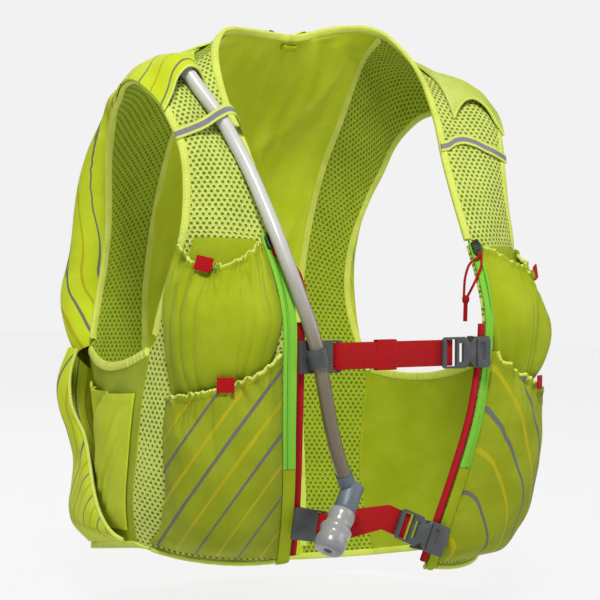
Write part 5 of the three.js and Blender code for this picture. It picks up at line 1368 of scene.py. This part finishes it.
def stretch_pouch():
    """Low pouch that wraps from the back to both sides."""
    clear = 0.6 / SIDE_HEIGHT

    def place(u, v, height):
        turn = np.abs(u)
        past = np.maximum(0, turn - STRETCH_CORNER) / (1 - STRETCH_CORNER)
        on_back = np.minimum(1, turn / STRETCH_CORNER)
        q = on_back + past * (read_table(STRETCH_MOUTH, v, 1) - 1)
        level = lerp(2 * HEM_START, np.interp(on_back, *STRETCH_TOP.T) - clear, v)
        return on_lower_wrap(side_of(u), q, level, height)

    def under(u, v):
        turn = np.abs(u)
        gape = read_table(STRETCH_MOUTH, v, 2)
        full = read_table(STRETCH_MOUTH, v, 3) * (1 - turn**5)
        drape = ripple(u * 4, v * 2, 101, 1.2) * np.minimum(1, 6 * v) * (1 - turn**6)
        return COVER_SEAT + STRETCH_POUCH_DEPTH * (full + gape * turn**5) + drape

    us, vs, node = steps(-1, 1, STRETCH_GRID[0]), steps(0, 1, STRETCH_GRID[1]), ["back_stretch_pocket"]
    material = striped("striped_stretch_finish", 0.3)
    cloth_piece("stretch_pouch", us, vs, place, under, POCKET_CLOTH, material, node)
    v = steps(0.02, 1, 160)
    for side, word in SIDES:
        edge = place(side + 0 * v, v, under(side + 0 * v, v) + 0.7)
        tube_piece(f"stretch_piping_{word}", edge, 1.6, edging())


def side_pocket(side, word):
    """Flat pocket on a side panel."""
    low, high = SIDE_POCKET_SPAN

    def place(u, v, height):
        return on_side(side, lerp(0.07, 0.93, u), lerp(low, high, v), height)

    def under(u, v):
        swell = np.sin(np.pi * u) * np.minimum(1, 2.5 * v)
        slanting = folds_along((u + 0.8 * v) * 95, (u - v) * 60, 24, 8.0, 111 + side)
        soft = ripple(u * 3, v * 3, 113 + side, 0.5)
        limit = np.maximum(swell, 0)
        return SEAT_ON_PANEL + 0.8 + 1.5 * SIDE_POCKET_DEPTH * swell + (slanting + soft) * limit

    def thick(u, v):
        return POCKET_CLOTH + 0.5 * smoothstep(v, 0.93, 0.94)

    name = f"side_pouch_{word}"
    us, vs = steps(0, 1, SIDE_POCKET_GRID[0]), steps(0, 1, SIDE_POCKET_GRID[1])
    cloth_piece(name, us, vs, place, under, thick, lit_back_lime(), [f"side_pocket_{word}"])


def edge_strip(side, name, rows, material, node):
    """Strip of cloth along a front edge. Gives back its way of placing."""
    def place(u, row, lift):
        inner, outer = inset_share(0, row, RAIL_INSET), inset_share(0, row, TAPE_INSET - 0.3)
        return on_ribbon(side, lerp(inner, outer, u), row, lift)

    cloth_piece(name, steps(0, 1, 12), rows, place, flat(TAPE_SEAT), FACING_CLOTH, material, node)
    return place


def front_edges(side, word):
    """Zip, facing and rail of a front edge."""
    c = colours()
    zip_material = finish("zip_finish", zip_cloth, c.zip_green, c.zip_dark, 0.0013)
    rows = steps(ZIP_END_ROW, ZIP_TOP_ROW - SEAM_GAP, 170)
    place = edge_strip(side, f"zip_cloth_{word}", rows, zip_material, [f"zip_tape_{word}"])
    fine = steps(ZIP_END_ROW + 0.02, ZIP_TOP_ROW - 0.1, 700)
    coil = place(0.6 + 0 * fine, fine, TAPE_SEAT + 1.2 + 0 * fine)
    length = run_lengths(coil[:, None], 0)[:, 0]
    bumps = 0.16 * np.sin(2 * np.pi * length / 1.9)
    tube_piece(f"zip_coil_{word}", coil, 0.75, zip_material, sides=8, ripple=bumps)
    low = steps(0, ZIP_END_ROW - SEAM_GAP, 60)
    edge_strip(side, f"facing_cloth_{word}", low, lime(), [f"front_facing_{word}"])
    rows = np.arange(0.1, RAIL_TOP_ROW, 0.03)
    points = on_ribbon(side, 0 * rows, rows)
    normals, inside = outward_on_ribbon(side, 0 * rows, rows), on_ribbon(side, 0.1 + 0 * rows, rows)
    out, up = edge_frames(points, normals, inside)
    rail_material = finish("rail_finish", braided_rail, c.rail, c.rail_highlight)
    section = oval(2.0, 1.55, 3.0, 2.25, 20, 0.7)
    swept_piece(f"rail_cord_{word}", points, out, up, section, rail_material, [f"rail_{word}"])


def lathe(name, profile, start, axis, material, nodes, sides=48):
    """A turned part along an axis, from radii and distances in millimetres."""
    helper = unit(np.cross(axis, np.array([0.0, 0.0, 1.0])))
    other = np.cross(axis, helper)
    radii, reach = profile[:, 0], profile[:, 1]
    centre = start + reach[:, None] * axis
    circle = oval(0, 0, 1, 1, sides, 1.0)
    section = circle[None] * np.maximum(radii, 0.01)[:, None, None]
    out = np.broadcast_to(helper, centre.shape)
    up = np.broadcast_to(other, centre.shape)
    return swept_piece(name, centre, out, up, section, material, nodes)


def pull_cords(side, word):
    """The two strands and the knot of one zip pull."""
    s = inset_share(0, SLIDER_ROW, TAPE_INSET / 2)
    up = outward_on_ribbon(side, s, SLIDER_ROW)
    ahead = on_ribbon(side, s, SLIDER_ROW + 0.1) - on_ribbon(side, s, SLIDER_ROW - 0.1)
    along = unit(ahead - up * (ahead @ up))
    centre = on_ribbon(side, s, SLIDER_ROW, TAPE_SEAT + 2.7)
    knot = moulded_piece(f"pull_cord_knot_{word}", f"cord_knot_{word}", red_weave(), 0.7)
    for number, strand in enumerate(PULL_CORDS[word]):
        across = (-0.6 if number == 0 else 0.6) * CORD_DIAMETER
        start = centre + np.cross(along, up) * across
        start = start - along * (SLIDER_LENGTH / 2 + CORD_DIAMETER) + up * CORD_DIAMETER / 2
        route = np.vstack([start, np.array(strand) * SIZE])
        beyond = unit(route[-1] - route[-2]) * 5.5
        route = np.vstack([start + along * 3.0, route, route[-1] + beyond])
        cord, points, length = cord_piece(
            f"cord_{word}_{number + 1}", route, CORD_DIAMETER, red_weave(),
            f"pull_cord_{word}_{number + 1}",
        )


def studio_world():
    """A pale backdrop that lights the vest less than it shows."""
    world = bpy.data.worlds.new("studio")
    world.use_nodes = True
    tree = world.node_tree
    background = tree.nodes["Background"]
    path = tree.nodes.new("ShaderNodeLightPath")
    seen = tree.nodes.new("ShaderNodeMix")
    seen.data_type = "FLOAT"
    seen.inputs[2].default_value = 0.18
    seen.inputs[3].default_value = 1.0
    tree.links.new(path.outputs["Is Camera Ray"], seen.inputs[0])
    tree.links.new(seen.outputs[0], background.inputs["Strength"])
    background.inputs["Color"].default_value = (0.888, 0.888, 0.888, 1)
    bpy.context.scene.world = world


def area_lamp(name, spot, size, power):
    """A square light that faces the vest."""
    data = bpy.data.lights.new(name, "AREA")
    data.energy = power
    data.size = size
    lamp = bpy.data.objects.new(name, data)
    lamp.location = spot
    aim = Vector((0, 0, -0.2)) - Vector(spot)
    lamp.rotation_euler = aim.to_track_quat("-Z", "Y").to_euler()
    bpy.context.scene.collection.objects.link(lamp)


def tint(red, green, blue):
    """A linear colour from one given as on a screen, 0 to 255."""
    values = []
    for channel in (red, green, blue):
        share = channel / 255
        values.append(share / 12.92 if share <= 0.04045 else ((share + 0.055) / 1.055) ** 2.4)
    return tuple(values)


def colour_property(name, description, red, green, blue):
    """A colour property with its default given as on a screen."""
    return FloatVectorProperty(
        name=name, description=description, default=tint(red, green, blue), size=3, min=0, max=1,
        subtype="COLOR",
    )


class VestColours(bpy.types.PropertyGroup):
    """Colours of the vest."""

    lime: colour_property("Lime", "Smooth stretch cloth", 152, 168, 12)
    lime_pale: colour_property("Pale lime", "Where the cloth is stretched", 168, 182, 34)
    # A lighter copy of the lime for the back, the side pouches and the striped back pieces: painted light.
    lit_back_lime: colour_property("Back lime", "Smooth cloth in the middle of the back", 190, 206, 28)
    lit_back_pale: colour_property("Pale back", "Stretched cloth of the back", 204, 218, 50)
    # A darker copy of the lime for the striped lower pockets: painted shade.
    shaded_pocket_lime: colour_property("Pocket lime", "Ground of the striped cloth", 136, 148, 16)
    shaded_pocket_pale: colour_property("Pale pocket", "Stretched striped cloth", 152, 164, 32)
    mesh_light: colour_property("Mesh face", "Raised threads of the mesh", 206, 218, 118)
    mesh_knit: colour_property("Mesh knit", "Ground of the mesh", 180, 196, 74)
    # Darker copies of the mesh colours for the back flanks: painted shade.
    flank_face_shaded: colour_property("Flank face", "Raised threads of the flank mesh", 172, 190, 48)
    flank_knit_shaded: colour_property("Flank knit", "Ground of the flank mesh", 144, 164, 28)
    # Darker colour inside the mesh holes: painted shade.
    mesh_hole_shade: colour_property("Mesh hole", "Inside the holes of the mesh", 100, 122, 14)
    binding: colour_property("Binding", "Folded edge binding", 204, 215, 92)
    stitch: colour_property("Stitches", "Thread along the binding", 226, 234, 160)
    stripe_grey: colour_property("Grey stripe", "Grey stripes of the pockets", 98, 98, 100)
    stripe_yellow: colour_property("Yellow stripe", "Yellow stripes of the pockets", 176, 166, 8)
    webbing: colour_property("Webbing", "Chest straps", 196, 10, 18)
    webbing_dark: colour_property("Webbing shade", "Between the ribs of the straps", 140, 0, 6)
    rail: colour_property("Rail", "Rail of the chest straps", 150, 4, 18)
    # Lighter red along the rail's middle: painted highlight.
    rail_highlight: colour_property("Rail middle", "Bright part of the rail", 190, 14, 30)
    zip_green: colour_property("Zip", "Zip tape", 134, 206, 62)
    zip_dark: colour_property("Zip shade", "Between the threads of the zip tape", 78, 144, 34)
    reflective: colour_property("Reflective", "Middle of the keeper bands", 112, 112, 122)
    plastic: colour_property("Plastic", "Buckles, sliders and clips", 62, 64, 66)
    elbow: colour_property("Elbow", "Elbow of the hose", 88, 98, 108)
    hose_pale: colour_property("Hose", "Upper part of the hose", 204, 204, 198)
    hose_warm: colour_property("Hose below", "Lower part of the hose", 112, 100, 78)
    valve: colour_property("Valve", "Soft bite valve", 146, 147, 145)
    valve_shade: colour_property("Valve shade", "Thick parts of the valve", 98, 100, 104)


class VestSizes(bpy.types.PropertyGroup):
    """Sizes of patterns and light."""

    hole_pitch: FloatProperty(
        name="Hole pitch", description="Between mesh holes", default=0.0046, unit="LENGTH",
    )
    stripe_spacing: FloatProperty(
        name="Stripe spacing", description="Between stripes", default=0.0136, unit="LENGTH",
    )
    edge_round: FloatProperty(name="Edge rounding", description="Rounding of mouldings in mm", default=0.55)
    lens: FloatProperty(name="Lens", description="Focal length in mm", default=127.5)
    key_power: FloatProperty(
        name="Key light", description="Power of the key light", default=9.0, unit="POWER",
    )


class VEST_OT_camera(bpy.types.Operator):
    """Places the camera"""

    bl_idname = "vest.camera"
    bl_label = "Camera"

    def execute(self, context):
        azimuth, lift, roll = math.radians(-32), math.radians(1), math.radians(1.5)
        flat_part = math.cos(lift)
        back = Vector((math.sin(azimuth) * flat_part, -math.cos(azimuth) * flat_part, math.sin(lift)))
        right = Vector((math.cos(azimuth), math.sin(azimuth), 0))
        up = right.cross(-back)
        turned = right * math.cos(roll) + up * math.sin(roll)
        raised = up * math.cos(roll) - right * math.sin(roll)
        data = bpy.data.cameras.new("camera")
        data.lens = sizes().lens
        data.sensor_width = 36
        data.shift_x = -15 / 600
        camera = bpy.data.objects.new("camera", data)
        spot = Vector((0, 0, -0.2)) + back * 1.7
        camera.matrix_world = Matrix((
            (turned.x, raised.x, back.x, spot.x), (turned.y, raised.y, back.y, spot.y),
            (turned.z, raised.z, back.z, spot.z), (0, 0, 0, 1),
        ))
        bpy.context.scene.collection.objects.link(camera)
        bpy.context.scene.camera = camera
        return {"FINISHED"}


class VEST_OT_cords(bpy.types.Operator):
    """Makes the drinking hose with its valve, and the pull cords of the zips"""

    bl_idname = "vest.cords"
    bl_label = "Hose and cords"

    def execute(self, context):
        c = colours()
        hose_material = finish("hose_finish", soft_tube, c.hose_pale, c.hose_warm)
        valve_material = finish("valve_finish", milky_rubber, c.valve, c.valve_shade)
        elbow_material = finish("elbow_finish", moulded_plastic, c.elbow)
        elbow = moulded_piece("hose_elbow", "elbow", elbow_material, 0.6)
        start = VALVE_TOP + VALVE_AXIS * (ELBOW_LENGTH + 0.3)
        scaled = VALVE_PROFILE * np.array([VALVE_DIAMETER / 2, VALVE_LENGTH])
        fine = spline_points(np.hstack([scaled, np.zeros((len(scaled), 1))]), 5)[:, :2]
        valve = lathe("mouth_valve", fine, start, VALVE_AXIS, valve_material, ["bite_valve"])
        hose, points, length = cord_piece(
            "hose", HOSE_ROUTE, HOSE_DIAMETER, hose_material, "drink_hose",
        )
        for side, word in SIDES:
            pull_cords(side, word)
        return {"FINISHED"}


class VEST_OT_panels(bpy.types.Operator):
    """Makes the mesh and smooth panels of the body"""

    bl_idname = "vest.panels"
    bl_label = "Panels"

    def execute(self, context):
        for side, word in SIDES:
            front_panel(side, word)
            back_flank(side, word)
            side_panel(side, word)
        centre_panel()
        return {"FINISHED"}


class VEST_OT_edges(bpy.types.Operator):
    """Makes the bindings, elastics and the hanging loop"""

    bl_idname = "vest.edges"
    bl_label = "Bindings"

    def execute(self, context):
        neck_binding()
        hem_binding()
        for side, word in SIDES:
            armhole_binding(side, word)
            side_elastic(side, word)
        moulded_piece("collar_loop", "hanging_loop", lime(), 0.4)
        return {"FINISHED"}


class VEST_OT_pockets(bpy.types.Operator):
    """Makes the front and side pockets"""

    bl_idname = "vest.pockets"
    bl_label = "Pockets"

    def execute(self, context):
        for side, word in SIDES:
            for kind in ("upper", "lower"):
                front_pocket(side, word, kind)
                node = f"{kind}_pocket_tab_{word}"
                moulded_piece(node, f"{kind}_tab_{word}", red_weave(), 0.3)
            upper_facing(side, word)
            side_pocket(side, word)
        return {"FINISHED"}


class VEST_OT_shoulders(bpy.types.Operator):
    """Makes the shoulder covers and the keeper bands"""

    bl_idname = "vest.shoulders"
    bl_label = "Shoulders"

    def execute(self, context):
        for side, word in SIDES:
            shoulder_cover(side, word)
            keeper_band(side, word)
        return {"FINISHED"}


class VEST_OT_back(bpy.types.Operator):
    """Makes the back pouch and the stretch pouch"""

    bl_idname = "vest.back"
    bl_label = "Back pouches"

    def execute(self, context):
        back_cover()
        stretch_pouch()
        return {"FINISHED"}


class VEST_OT_front(bpy.types.Operator):
    """Makes the zips, facings and rails of the front edges"""

    bl_idname = "vest.front"
    bl_label = "Front edges"

    def execute(self, context):
        metal = finish("zip_slider_finish", painted_metal, tint(70, 74, 62))
        for side, word in SIDES:
            front_edges(side, word)
            moulded_piece(f"zip_slider_{word}", f"slider_{word}", metal, 0.35)
        return {"FINISHED"}


class VEST_OT_straps(bpy.types.Operator):
    """Makes the chest straps and their hardware"""

    bl_idname = "vest.straps"
    bl_label = "Chest straps"

    def execute(self, context):
        bevel = sizes().edge_round
        for level in ("upper", "lower"):
            for part in ("strap_slider", "buckle_male", "buckle_female"):
                node = f"{level}_{part}"
                moulded_piece(node, f"{node}_moulding", plastic(), bevel)
            moulded_piece(f"{level}_webbing", f"{level}_strap", red_weave(), 0.35)
        moulded_piece("upper_webbing_keeper", "strap_sleeve", red_weave(), 0.3)
        moulded_piece("upper_hose_clip", "hose_clip", plastic(), 0.3)
        return {"FINISHED"}


class VEST_OT_stage(bpy.types.Operator):
    """Makes the floor and the lights"""

    bl_idname = "vest.stage"
    bl_label = "Stage"

    def execute(self, context):
        floor_height = CAD_BOX[0][2] - 0.012
        mesh = bpy.data.meshes.new("floor")
        ring = [(6 * math.cos(a), 6 * math.sin(a), floor_height) for a in steps(0, 2 * math.pi, 64)[:-1]]
        mesh.from_pydata(ring, [], [list(range(64))])
        mesh.materials.append(finish("floor_finish", stage_finish, 0.85))
        floor = bpy.data.objects.new("floor", mesh)
        bpy.context.scene.collection.objects.link(floor)
        studio_world()
        power = sizes().key_power
        area_lamp("key", (-1.0, -1.55, 1.95), 0.6, power * 9.2)
        area_lamp("fill", (1.8, -1.3, 0.5), 1.4, power * 1.5)
        area_lamp("rim", (0.4, 1.9, 1.3), 1.3, power * 3.0)
        bpy.context.scene.view_settings.view_transform = "Standard"
        return {"FINISHED"}


OPERATORS = (
    VEST_OT_camera, VEST_OT_cords, VEST_OT_panels, VEST_OT_edges, VEST_OT_pockets, VEST_OT_shoulders,
    VEST_OT_back, VEST_OT_front, VEST_OT_straps, VEST_OT_stage,
)


class VEST_PT_panel(bpy.types.Panel):
    bl_idname = "VEST_PT_panel"
    bl_label = "Running hydration vest"
    bl_space_type = "VIEW_3D"
    bl_region_type = "UI"
    bl_category = "Vest"

    def draw(self, context):
        for group in (context.scene.vest_sizes, context.scene.vest_colours):
            for name in group.__annotations__:
                self.layout.prop(group, name)
        for operator in OPERATORS:
            self.layout.operator(operator.bl_idname)


CLASSES = (VestColours, VestSizes, *OPERATORS, VEST_PT_panel)


def register():
    for one in CLASSES:
        bpy.utils.register_class(one)
    bpy.types.Scene.vest_colours = PointerProperty(type=VestColours)
    bpy.types.Scene.vest_sizes = PointerProperty(type=VestSizes)


def unregister():
    del bpy.types.Scene.vest_sizes
    del bpy.types.Scene.vest_colours
    for one in reversed(CLASSES):
        bpy.utils.unregister_class(one)


def main():
    """Builds the vest in order."""
    register()
    for operator in OPERATORS:
        group, name = operator.bl_idname.split(".")
        getattr(getattr(bpy.ops, group), name)()


if __name__ == "__main__":
    main()
